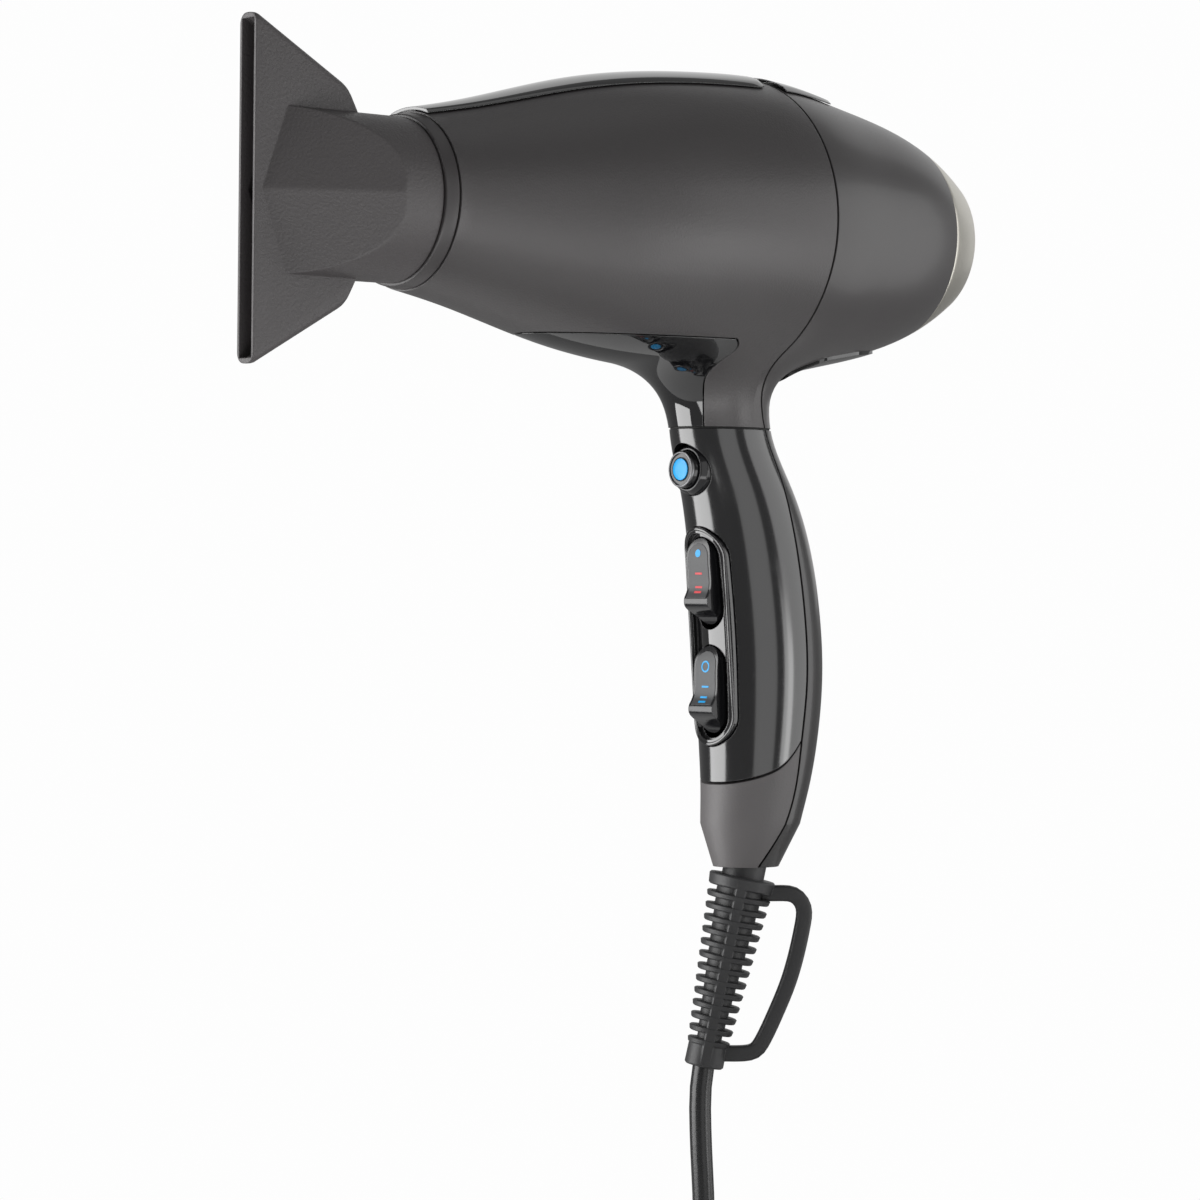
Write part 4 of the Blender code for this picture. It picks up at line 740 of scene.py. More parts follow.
def belly_region(name, grow):
    """The lower front of barrel and neck, taken by the gloss belly panel."""
    tip = -27.0 + grow
    corners = [(tip - 6, 28 + grow), (tip, 24.5 + grow), (tip - 3, 19 + grow), (tip - 4, 13 + grow)]
    corners += [(tip, 8.2 + grow), (NECK_X - 11 + grow, 6.5 + grow)]
    half = rounded_profile(corners, 3.0, 5, False)
    outline = [(-125, 60), (tip - 8, 60)] + half
    outline += [(x, -y) for x, y in reversed(half)] + [(tip - 8, -60), (-125, -60)]
    return prism_z(name, outline, NECK_Z - 10, AXIS_Z - 35 + grow)


def trim_strip(name, x0, x1, half0, half1, lift, thickness, tip=0.0, stations=60, across=20):
    """A strip lying along the top of the barrel; `tip` millimetres of its rear end are rounded."""
    rings = []
    for x in np.linspace(x0, x1, stations):
        t = (x - x0) / (x1 - x0)
        half = math.radians(half0 + (half1 - half0) * t)
        left = max(x1 - x, 0.0)
        if tip and left < tip:
            half *= 0.72 + 0.28 * math.sqrt(max(0.0, 1 - (1 - left / tip) ** 2))
        radius = float(barrel_radius(x)) + lift
        turn = np.linspace(-half, half, across + 1)
        crown = thickness * np.minimum(1.0, (half - np.abs(turn)) / half * 6 + 0.35)
        reach = radius + crown
        top = [(x, r * math.sin(a), AXIS_Z + r * math.cos(a)) for a, r in zip(turn, reach)]
        low = [(x, radius * math.sin(a), AXIS_Z + radius * math.cos(a)) for a in turn[::-1]]
        rings.append(top + low)
    return lofted(name, rings, sharp=40)


def rear_belly_outline(grow):
    front, back = 8.0 - grow, 44.0 + grow
    half = [(front, 6 + grow), (front + 8, 15 + grow), (back - 12, 13 + grow), (back, 7 + grow)]
    return rounded_profile(half + [(x, -y) for x, y in reversed(half)], 3.0, 5)


def make_housing():
    """Barrel and neck: two satin halves, the gloss belly and the strips along the top."""
    low, high = NECK_Z - 5, AXIS_Z + BARREL_RADIUS + 5
    front = skin_wall("front_shell")
    shaped(
        front,
        ("INTERSECT", side_region("front_side", True, low, high, -SEAM_GAP / 2)),
        ("DIFFERENCE", belly_region("belly_hole", GAP)),
    )
    placed_piece(polished(front), "satin_housing", "dryer", ("front_housing",))
    belly = shaped(skin_wall("belly_shell"), ("INTERSECT", belly_region("belly_side", 0.0)))
    placed_piece(polished(belly), "gloss_housing", "dryer", ("belly_panel",))
    rear = skin_wall("rear_shell")
    shaped(
        rear,
        ("INTERSECT", side_region("rear_side", False, low, high, SEAM_GAP / 2)),
        ("DIFFERENCE", prism_z("rear_belly_hole", rear_belly_outline(GAP), NECK_Z + 5, AXIS_Z - 20)),
    )
    placed_piece(polished(rear), "rear_satin", "dryer", ("rear_housing",))
    keel = skin_wall("rear_belly_shell", -0.9, WALL)
    shaped(keel, ("INTERSECT", prism_z("rear_belly_side", rear_belly_outline(0), NECK_Z + 5, AXIS_Z - 20)))
    placed_piece(polished(keel, -0.9), "gloss_housing", "dryer", ("rear_belly_panel",))
    # A near-black sheet just inside the seam between the halves: painted shade, so the gap reads dark.
    liner = skin_wall("seam_painted_shade", 1.0, WALL)
    shaped(
        liner,
        ("INTERSECT", side_region("painted_shade_front", True, low, high, 1.0)),
        ("INTERSECT", side_region("painted_shade_rear", False, low, high, -1.0)),
    )
    placed_piece(liner, "liner_black", "dryer")
    trim = trim_strip("top_strip", BARREL_FRONT + 0.5, SEAM_TOP - 4, 20, 27, GAP, 0.9, 5.0)
    placed_piece(trim, "gloss_housing", "dryer", ("top_trim",))
    trim = trim_strip("rear_top_strip", SEAM_TOP + 2, SEAM_TOP + 26, 27, 24, GAP, 0.9, 6.0, 30)
    placed_piece(trim, "gloss_housing", "dryer", ("rear_top_trim",))


# ---------------------------------------------------------------- nozzle and outlet


def rounded_blade(name, upper, thin, soft):
    """The blade with its upper and lower edges fully rounded."""
    rings = []
    for side in (-1, 1):
        for turn in np.linspace(0, math.pi / 2, 7)[::side]:
            less = soft * (1 - math.cos(turn))
            half = [(x, z - less if z > NOZZLE_RADIUS else z) for x, z in upper]
            half = rounded_profile(half, 2.2, 6, False)
            outline = [(x, AXIS_Z + z) for x, z in half] + [(x, AXIS_Z - z) for x, z in reversed(half[:-1])]
            y = side * (thin - soft + soft * math.sin(turn))
            rings.append([(x, y, z) for x, z in outline])
    return lofted(name, rings)


def wedge_tube(name, radius, thin, rear):
    """The round tube, flattened on both sides towards the mouth."""
    start, end = MOUTH_X + 2.5, NOZZLE_REAR - 13.5
    steep = (NOZZLE_RADIUS - MOUTH_WIDTH / 2) / (end - start)
    rings = []
    for x in list(np.linspace(MOUTH_X + 0.6, end + 7, 110)) + [rear]:
        ring = []
        for y, z in circle(radius, 264, 0.01):
            limit = max(thin + (x - start) * steep - 0.21 * abs(z), 0.3) if x < end + 7 else radius
            ring.append((x, min(max(y, -limit), limit), AXIS_Z + z))
        rings.append(ring)
    return lofted(name, rings)


def nozzle_solid(name, inset, longer):
    """Tube, wedge and blade as one solid; `inset` shrinks it into the air passage."""
    thin = MOUTH_WIDTH / 2 - inset * 0.6
    tube = wedge_tube(name, NOZZLE_RADIUS - inset, thin, NOZZLE_REAR + longer)
    front = MOUTH_X - (2.0 if longer > 1 else 0.0)
    tall = MOUTH_HEIGHT / 2 - inset
    root = BLADE_HEIGHT / 2 - inset
    back = MOUTH_X + BLADE_LENGTH
    upper = [(front, tall), (MOUTH_X + 1.5, tall), (back, root)]
    upper += [(back + 5.5, NOZZLE_RADIUS - 5), (back + 5.5, 0)]
    if inset:
        outline = [(x, AXIS_Z + z) for x, z in upper] + [(x, AXIS_Z - z) for x, z in reversed(upper[:-1])]
        blade = prism_y(f"{name}_blade", outline, thin)
    else:
        blade = rounded_blade(f"{name}_blade", upper, thin, 3.0)
    return shaped(tube, ("UNION", blade))


def make_nozzle():
    """The concentrator nozzle, round where it grips the outlet and a flat slot at its mouth."""
    nozzle = nozzle_solid("nozzle_shell", 0.0, 0.0)
    shaped(nozzle, ("DIFFERENCE", nozzle_solid("nozzle_passage", NOZZLE_WALL, 8.0)), sharp=24)
    placed_piece(nozzle, "nozzle_matte", "nozzle", ("nozzle",))


def make_outlet():
    """The collar that the nozzle turns on, with the groove between them."""
    spigot = NOZZLE_RADIUS - NOZZLE_WALL - GAP
    outer = BARREL_FRONT - GAP
    profile = [
        (outer, OUTLET_RADIUS - 0.3),
        (outer - 4.2, OUTLET_RADIUS - 1.1),
        (outer - 4.2, spigot),
        (NOZZLE_REAR - 9, spigot),
        (NOZZLE_REAR - 9, spigot - 1.4),
        (BARREL_FRONT + 7, spigot - 1.4),
        (BARREL_FRONT + 7, spigot),
        (outer, spigot),
    ]
    collar = turned("outlet_collar", rounded_profile(profile, 0.5), 128)
    placed_piece(collar, "collar_satin", "dryer", ("front_bezel",))


# ---------------------------------------------------------------- intake


def make_intake():
    """The metal ring, its grille and the filter gauze behind it."""
    grille_x, rim = RING_END - 5, RING_TAIL_RADIUS - 1.5
    start = BARREL_REAR + GAP
    profile = [(start, INTAKE_RADIUS - 0.2)]
    profile += [(x, float(barrel_radius(x))) for x in np.linspace(start + 1.5, RING_END - 0.8, 14)]
    profile += [
        (RING_END, RING_TAIL_RADIUS - 0.6),
        (RING_END + 0.6, RING_TAIL_RADIUS - 2),
        (grille_x + 1.5, rim),
        (grille_x - 5, rim),
        (start + 2, INTAKE_RADIUS - 3.2),
        (start - 5, INTAKE_RADIUS - 3.2),
        (start - 5, INTAKE_RADIUS - 3.0 - 0.4),
        (start, INTAKE_RADIUS - 3.0 - 0.4),
    ]
    ring = turned("intake_ring", rounded_profile(profile, 0.3, 2), 160)
    placed_piece(ring, "champagne_ring", "intake_filter", ("rear_ring",))
    bars = []
    for radius in (4.2, 7.4, 10.6, 13.8, 17.0):
        crown = grille_x + 3.4 - 2.0 * (radius / rim) ** 2
        low, high = radius - 0.65, radius + 0.65
        hoop = [(crown - 1.8, low), (crown, low), (crown, high), (crown - 1.8, high)]
        bars.append(turned(f"grille_hoop_{len(bars)}", rounded_profile(hoop, 0.3, 2), 96))
    outer = [(grille_x - 2, rim - 1.6), (grille_x - 2, rim - GAP)]
    outer += [(grille_x + 1, rim - GAP), (grille_x + 1.2, rim - 1.6)]
    bars.append(turned("grille_rim", rounded_profile(outer, 0.3, 2), 96))
    hub = [(grille_x + x, r) for x, r in ((0.6, 0), (0.6, 2.6), (3.0, 2.6), (3.4, 2.0), (3.5, 0))]
    bars.append(turned("grille_hub", hub, 48))
    for n in range(10):
        turn = 2 * math.pi * n / 10
        outward = np.array((0, math.cos(turn), math.sin(turn)))
        sideways = np.array((0, -math.sin(turn), math.cos(turn)))
        rings = []
        for radius in np.linspace(1.5, rim - 0.8, 9):
            crown = grille_x + 3.1 - 2.0 * (radius / rim) ** 2
            ring = []
            for u, v in ((-1.7, -0.5), (-0.2, -0.5), (0, -0.3), (0, 0.3), (-0.2, 0.5), (-1.7, 0.5)):
                ring.append(tuple(np.array((crown + u, 0, AXIS_Z)) + outward * radius + sideways * v))
            rings.append(ring)
        bars.append(lofted(f"grille_spoke_{n}", rings))
    grille = joined(*bars)
    grille.name = "intake_grille"
    placed_piece(grille, "base_matte", "intake_filter", ("filter_grille",))
    back, front, edge = grille_x - 3.4, grille_x - 2.3, rim - GAP
    gauze = [(back, 0), (back, edge), (front, edge), (front, 0)]
    mesh = turned("intake_gauze", gauze, 96)
    placed_piece(mesh, "mesh_steel", "intake_filter", ("filter_mesh",))


# ---------------------------------------------------------------- handle


def grip_ring(z, depth, segments=96):
    if z < CHAMFER_Z:
        t = (CHAMFER_Z - z) / (CHAMFER_Z - GRIP_BOTTOM)
        top = float(grip_half_depth(CHAMFER_Z))
        deep = top + (top * 0.655 - top) * t
    else:
        deep = float(grip_half_depth(z))
    wide = deep * GRIP_ROUNDNESS
    middle = float(grip_middle(z))
    return [(middle + u * (deep - depth), v * (wide - depth), z) for u, v in circle(1.0, segments)]


GRIP_HEIGHTS = list(np.linspace(GRIP_TOP, CHAMFER_Z, 56)) + [GRIP_BOTTOM + 1.0, GRIP_BOTTOM]
GUARD_LEAN = math.radians(11.1)
GUARD_SWIVEL = math.radians(-40.0)
GUARD_START = Vector((-1.6, 0, -68.1))
GUARD_OUT = Vector((math.cos(GUARD_SWIVEL), math.sin(GUARD_SWIVEL), 0))
GUARD_SIDE = Vector((-math.sin(GUARD_SWIVEL), math.cos(GUARD_SWIVEL), 0))
GUARD_ALONG = -math.sin(GUARD_LEAN) * GUARD_OUT - math.cos(GUARD_LEAN) * Vector((0, 0, 1))


def grip_wall(name):
    """The whole handle wall with its floor, before it is divided into its mouldings."""
    outer = [grip_ring(z, 0.0) for z in GRIP_HEIGHTS]
    lift = (GRIP_BOTTOM + WALL / 2 - GUARD_START.z) * math.tan(GUARD_LEAN)
    middle = GUARD_START + GUARD_OUT * lift
    floor = []
    for z in (GRIP_BOTTOM, GRIP_BOTTOM + WALL):
        floor.append([(middle.x + u, middle.y + v, z) for u, v in circle(7.0, 96)])
    inner = [grip_ring(z, WALL) for z in reversed(GRIP_HEIGHTS[:-2])]
    return lofted(name, outer + floor + [grip_ring(GRIP_BOTTOM + WALL, WALL)] + inner, True, 20)


def grip_band(name, outside, inside):
    heights = GRIP_HEIGHTS[:-2]
    rings = [grip_ring(z, outside) for z in heights] + [grip_ring(z, inside) for z in reversed(heights)]
    return lofted(name, rings, True)


def base_line(shift):
    line = smooth_curve([(-25, -41.5), (-13, -40.4), (-6.3, -38.3), (0.2, -35), (6.7, -27.6), (9, -24)])
    return [(x, float(line(x)) + shift) for x in np.linspace(-25, 9, 40)]


def surface_x(z):
    return float(grip_middle(z) - grip_half_depth(z))


def make_handle():
    """The gloss front cover, the matte base and the satin back of the grip, with two screws."""
    half = SEAM_GAP / 2
    cover_side = prism_y("cover_side", base_line(half) + [(9, 90), (-40, 90), (-40, -41.5 + half)], 60)
    base_side = prism_y("base_side", base_line(-half) + [(9, -90), (-40, -90), (-40, -41.5 - half)], 60)
    bezel_hole = stadium(BEZEL_WIDTH + 0.6, BEZEL_HEIGHT + 0.6, BEZEL_MIDDLE)
    cover = grip_wall("grip_cover")
    shaped(
        cover,
        ("INTERSECT", side_region("cover_front", True, -80, NECK_Z + 5, -half)),
        ("INTERSECT", cover_side),
        ("DIFFERENCE", prism_x("bezel_hole", bezel_hole, -50, 0)),
        ("DIFFERENCE", rod("collar_hole", -50, -10, BUTTON_RADIUS + 2.3, BUTTON_Z)),
    )
    placed_piece(cover, "gloss_grip", "dryer", ("handle_front_cover",))
    base = grip_wall("grip_base")
    base_front = side_region("base_front", True, -80, NECK_Z + 5, -half)
    shaped(base, ("INTERSECT", base_front), ("INTERSECT", base_side), sharp=20)
    placed_piece(base, "base_matte", "dryer", ("handle_base",))
    back = grip_wall("grip_back")
    steps = [("INTERSECT", side_region("back_rear", False, -80, NECK_Z + 5, half))]
    for z in (40.0, -34.0):
        outside = float(grip_middle(z) + grip_half_depth(z))
        steps.append(("DIFFERENCE", rod(f"screw_well_{int(z)}", outside - 2.0, outside + 9, 3.2, z, 48)))
    shaped(back, *steps, sharp=20)
    placed_piece(back, "handle_satin", "dryer", ("handle_rear_shell",))
    # A near-black sheet just inside the grip's seam: painted shade, so the gap reads dark.
    liner = grip_band("grip_painted_shade", 1.0, WALL)
    shaped(
        liner,
        ("INTERSECT", side_region("grip_painted_shade_front", True, -80, NECK_Z + 5, 1.0)),
        ("INTERSECT", side_region("grip_painted_shade_rear", False, -80, NECK_Z + 5, -1.0)),
    )
    placed_piece(liner, "liner_black", "dryer")
    # A near-black ring in the gap under the neck: painted shade, so the gap reads dark.
    heights = np.linspace(NECK_Z - 0.58, NECK_Z - 0.02, 4)
    rings = [grip_ring(z, 0.35) for z in heights] + [grip_ring(z, WALL) for z in reversed(heights)]
    placed_piece(lofted("neck_painted_shade", rings, True), "liner_black", "dryer")
    for z, word in ((40.0, "upper"), (-34.0, "lower")):
        outside = float(grip_middle(z) + grip_half_depth(z))
        dome = [(-1.9, 0), (-1.9, 2.9), (-1.1, 2.9), (-0.75, 2.3), (-0.6, 1.2), (-0.6, 0)]
        head = turned(f"screw_{word}", dome, 48, (outside, 0, z))
        slots = []
        for i, (a, b) in enumerate(((1.6, 0.32), (0.32, 1.6))):
            cross = [(-a, z - b), (a, z - b), (a, z + b), (-a, z + b)]
            slots.append(("DIFFERENCE", prism_x(f"slot_{i}_{word}", cross, outside - 1.5, outside + 1)))
        shaped(head, *slots)
        placed_piece(head, "steel", "dryer", (f"handle_screw_{word}",))


# ---------------------------------------------------------------- switches


def on_front(points, z):
    """Points given inwards, across and up from the handle's front surface at height z."""
    tilt = math.atan((surface_x(z + 6) - surface_x(z - 6)) / 12)
    start = Vector((surface_x(z), 0, z))
    turn = Matrix.Rotation(tilt, 3, "Y")
    return [tuple(start + turn @ Vector(p)) for p in points]


def front_prism(name, outline, x0, x1, z):
    size = len(outline)
    points = [(x, y, up) for x in (x0, x1) for y, up in outline]
    faces = ring_faces(2, size, False) + [tuple(range(size)), tuple(range(size, 2 * size))]
    return linked(name, on_front(points, z), faces)


HALF_ROCKER = ROCKER_HEIGHT / 2
ROCKER_FACE = [
    (0.4, HALF_ROCKER),
    (-0.9, HALF_ROCKER - 3.5),
    (-1.6, 2.0),
    (-ROCKER_PROUD + 1.2, -HALF_ROCKER * 0.24),
    (-ROCKER_PROUD + 0.2, -HALF_ROCKER * 0.36),
    (-ROCKER_PROUD, -HALF_ROCKER * 0.45),
    (-ROCKER_PROUD + 0.6, -HALF_ROCKER * 0.58),
    (-1.9, -HALF_ROCKER * 0.68),
    (0.2, -HALF_ROCKER + 2.2),
    (1.2, -HALF_ROCKER),
]
face_depth = smooth_curve([(up, x) for x, up in reversed(ROCKER_FACE)])


def rocker(kind, z, nodes):
    """One rocker: a gloss body with a raised lower tip."""
    heights = np.linspace(HALF_ROCKER, -HALF_ROCKER, 48)
    side = [(float(face_depth(up)), up) for up in heights] + [(5.0, -HALF_ROCKER), (5.0, HALF_ROCKER)]
    points = [(x, across * ROCKER_WIDTH / 2, up) for across in (-1, 1) for x, up in side]
    size = len(side)
    faces = ring_faces(2, size, False) + [tuple(range(size)), tuple(range(size, 2 * size))]
    made = linked(f"{kind}_rocker_body", on_front(points, z), faces)
    plan = front_prism(f"{kind}_plan", stadium(ROCKER_WIDTH, ROCKER_HEIGHT, 0), -12, 20, z)
    shaped(made, ("INTERSECT", plan), sharp=40)
    return placed_piece(made, "gloss_switch", f"{kind}_rocker", nodes)


def mark(name, outline, z, finish, body, proud=0.07, middle=None):
    """A thin printed shape lying on a rocker's face; `middle` is an inner outline left open."""
    points, faces = [], []
    for depth in (proud, -0.2):
        for y, up in outline + (middle or []):
            points.append((float(face_depth(up)) - depth, y, up))
    size, total = len(outline), len(outline) + len(middle or [])
    if middle:
        for base in (0, total):
            faces += [tuple(base + i for i in face) for face in ring_faces(2, size, False)]
        for base in (0, size):
            for i in range(size):
                k = (i + 1) % size
                faces.append((base + i, base + k, total + base + k, total + base + i))
    else:
        faces = ring_faces(2, size, False) + [tuple(range(size)), tuple(range(size, 2 * size))]
    return placed_piece(linked(name, on_front(points, z), faces), finish, body)


def bar(width, height, up):
    outline = [(-width / 2, up - height / 2), (width / 2, up - height / 2)]
    outline += [(width / 2, up + height / 2), (-width / 2, up + height / 2)]
    return outline


def disc(radius, up, segments=40):
    return [(u, up + v) for u, v in circle(radius, segments)]


def bead(name, outline, radius, lift):
    """A thin round bead lying on the grip's front along an upright outline."""
    rings = []
    for i, (y, z) in enumerate(outline):
        (y0, z0), (y1, z1) = outline[i - 1], outline[(i + 1) % len(outline)]
        away = Vector((0, z1 - z0, y0 - y1)).normalized()
        deep = float(grip_half_depth(z)) + lift
        wide = float(grip_half_depth(z)) * GRIP_ROUNDNESS + lift
        level = math.sqrt(1 - (y / wide) ** 2)
        centre = Vector((float(grip_middle(z)) - deep * level, y, z))
        facing = Vector((-level / deep, y / wide ** 2, 0)).normalized()
        away = (away - facing * away.dot(facing)).normalized()
        rings.append([tuple(centre + (away * u + facing * v)) for u, v in circle(radius, 14)])
    return lofted(name, rings, True)


def make_switches():
    """The long bezel on the front of the grip with its heat and speed rockers."""
    bezel = grip_band("switch_surround", -0.9, WALL)
    pan = grip_band("surround_pan", -6.0, 0.7)
    pan_outline = stadium(BEZEL_WIDTH - 3.6, BEZEL_HEIGHT - 3.6, BEZEL_MIDDLE)
    shaped(pan, ("INTERSECT", prism_x("pan_keep", pan_outline, -50, 0)))
    steps = [
        ("INTERSECT", prism_x("surround_keep", stadium(BEZEL_WIDTH, BEZEL_HEIGHT, BEZEL_MIDDLE), -50, 0)),
        ("DIFFERENCE", pan),
    ]
    for z in (HEAT_ROCKER_Z, SPEED_ROCKER_Z):
        slot = stadium(ROCKER_WIDTH + 0.8, ROCKER_HEIGHT + 1.9, -0.55)
        steps.append(("DIFFERENCE", front_prism(f"rocker_slot_{int(z)}", slot, -8, 9, z)))
    shaped(bezel, *steps)
    placed_piece(bezel, "gloss_housing", "dryer", ("switch_bezel",))
    rim = bead("bezel_bead", stadium(BEZEL_WIDTH - 1.1, BEZEL_HEIGHT - 1.1, BEZEL_MIDDLE), 0.6, 0.65)
    placed_piece(rim, "gloss_housing", "dryer")
    for kind, z in (("heat", HEAT_ROCKER_Z), ("speed", SPEED_ROCKER_Z)):
        rocker(kind, z, (f"{kind}_rocker",))
        rows = []
        for up in np.linspace(-4.4, 11.4, 34):
            half = ROCKER_WIDTH / 2 - 0.9
            end = min(1.0, (11.4 - up) / 4.0)
            half *= math.sqrt(max(0.04, 1 - (1 - end) ** 2)) if end < 1 else 1.0
            rows.append([(float(face_depth(up)) - 0.12, -half, up), (float(face_depth(up)) - 0.12, half, up),
                         (float(face_depth(up)) + 0.4, half, up), (float(face_depth(up)) + 0.4, -half, up)])
        label = lofted(f"{kind}_label", [on_front(row, z) for row in rows])
        placed_piece(label, "label_face", f"{kind}_rocker")
    marks = (
        ("heat_dot", disc(1.15, 8.6), "blue_mark", None),
        ("heat_bar", bar(3.0, 0.6, 2.6), "red_mark", None),
        ("heat_bar_double_upper", bar(3.0, 0.6, -1.4), "red_mark", None),
        ("heat_bar_double_lower", bar(3.0, 0.6, -2.8), "red_mark", None),
        ("speed_ring", disc(1.75, 6.9), "blue_mark", disc(1.25, 6.9)),
        ("speed_bar", bar(3.0, 0.55, 0.9), "blue_mark", None),
        ("speed_bar_double_upper", bar(3.0, 0.55, -2.2), "blue_mark", None),
        ("speed_bar_double_lower", bar(3.0, 0.55, -3.5), "blue_mark", None),
    )
    for name, outline, finish, inner in marks:
        kind = name.split("_")[0]
        z = HEAT_ROCKER_Z if kind == "heat" else SPEED_ROCKER_Z
        mark(name, outline, z, finish, f"{kind}_rocker", 0.19, inner)


def make_button():
    """The cool-shot button in its collar, with a blue dot and a grey rim lightened as a painted highlight."""
    centre = (0, 0, BUTTON_Z)
    rear = surface_x(BUTTON_Z) + 7
    reach = BUTTON_RADIUS + 2.1
    sleeve = [(BUTTON_FACE + 2.4, BUTTON_RADIUS + GAP), (BUTTON_FACE + 2.4, reach - 1.1)]
    sleeve += [(BUTTON_FACE + 4.2, reach), (rear, reach), (rear, BUTTON_RADIUS + GAP)]
    collar = turned("button_collar", rounded_profile(sleeve, 0.4), 96, centre)
    placed_piece(collar, "gloss_switch", "dryer", ("cool_shot_collar",))
    cap = [
        (0.45, 0),
        (0.45, 3.35),
        (0.05, 3.5),
        (0.0, 3.9),
        (0.0, BUTTON_RADIUS - 0.9),
        (0.25, BUTTON_RADIUS - 0.3),
        (0.9, BUTTON_RADIUS),
        (5.2, BUTTON_RADIUS),
        (5.2, 2.0),
        (14.5, 2.0),
        (14.5, 0),
    ]
    cap = [(BUTTON_FACE + x, radius) for x, radius in cap]
    button = turned("button_cap", cap, 96, centre)
    placed_piece(button, "gloss_switch", "cool_shot_button", ("cool_shot_button",))
    # The rim ring on the face: the face's grey ring, made of lighter metal as a painted highlight of its
    # bevel.
    rim = [(0.9, 5.5), (0.1, 5.36), (-0.1, 5.1), (-0.1, 4.85), (0.3, 4.75)]
    rim = turned("button_rim", rounded_profile([(BUTTON_FACE + x, r) for x, r in rim], 0.1, 2), 96, centre)
    placed_piece(rim, "bright_rim", "cool_shot_button")
    dot = [(0.42, 0), (0.42, 3.2), (-0.05, 3.2), (-0.18, 2.95), (-0.24, 1.8), (-0.26, 0)]
    dot = turned("button_dot", [(BUTTON_FACE + x, radius) for x, radius in dot], 64, centre)
    placed_piece(dot, "blue_mark", "cool_shot_button", ("cool_shot_dot",))


# ---------------------------------------------------------------- cord, guard and plug

CORD_EXIT = GUARD_START + GUARD_ALONG * (GUARD_LENGTH + 2.4)
CORD_Z = SURFACE_Z + CORD_RADIUS
CORD_X = CORD_EXIT.x + 0.7 * GUARD_OUT.x
LANDING_Y = CORD_EXIT.y + 0.7 * GUARD_OUT.y - 32.0
OUTER_TURN = 36.0 + 2 * CORD_RADIUS
COIL_X, COIL_Y = CORD_X + OUTER_TURN, LANDING_Y - 28.0
TAIL_X = COIL_X + OUTER_TURN


def coil_join():
    """How far from the coil's middle, along Y, a straight run of cord meets its outer turn."""
    reach = 0.0
    for u, v in circle(CORD_RADIUS, 24):
        outside = 36.0 + math.sqrt(10.3**2 - (CORD_RADIUS + v - 10.0) ** 2)
        reach = max(reach, outside**2 - (OUTER_TURN + u) ** 2)
    return math.sqrt(reach)


TAIL_START = COIL_Y + coil_join()
PLUG_GUARD_START = TAIL_START + 18.0
PLUG_GUARD_LENGTH = 22.0
PLUG_Z = SURFACE_Z + 13.7 / 2 + 0.2
PLUG_START = PLUG_GUARD_START + PLUG_GUARD_LENGTH + GAP
PLUG_END = PLUG_START + 36.0


def cord_points():
    """The cord's middle line, from inside its guard through the coil to the plug."""
    route = [tuple(GUARD_START + GUARD_ALONG * along) for along in (46.0, 52.0)]
    route.append(tuple(CORD_EXIT))
    for drop, drift in ((7, -0.8), (17, -0.8), (28, -0.3), (41, 0.4)):
        route.append(tuple(CORD_EXIT + GUARD_OUT * drift - Vector((0, 0, drop))))
    for i in range(7):
        angle = math.pi / 2 * i / 6
        height = CORD_Z + 32.0 - 32.0 * math.sin(angle)
        route.append((CORD_X, LANDING_Y + 32.0 * math.cos(angle), height))
    route.append((CORD_X, LANDING_Y - 14.0, CORD_Z))
    lead = [tuple(p) for p in route_through(route, 6.5)]
    step = 2 * CORD_RADIUS
    out, inn, mid = OUTER_TURN, OUTER_TURN - 2 * step, OUTER_TURN - step
    when = (0, 2, 3, 4, 5, 6, 7, 7.5)
    reaches = (out, inn, inn, inn, mid, mid, out, out)
    layers = (0, 0, 1, 2, 2, 1, 1, 1)
    coil = []
    for t in np.arange(0, 7.5, 1 / 28):
        reach, layer = np.interp(t, when, reaches), np.interp(t, when, layers)
        angle = math.pi + 2 * math.pi * t
        flat = (COIL_X + reach * math.cos(angle), COIL_Y + reach * math.sin(angle))
        coil.append((*flat, CORD_Z + step * layer))
    tail = []
    for along, lift in ((0, 6.6), (7, 6.55), (14, 5.9), (22, 3.9), (30, 1.9), (35, 1.0)):
        tail.append((TAIL_X, COIL_Y + along, CORD_Z + lift))
    end = PLUG_GUARD_START + 3.0 - COIL_Y
    tail = [p for p in tail if p[1] < COIL_Y + end - 3]
    tail.append((TAIL_X, COIL_Y + end, PLUG_Z))
    return lead + coil + tail


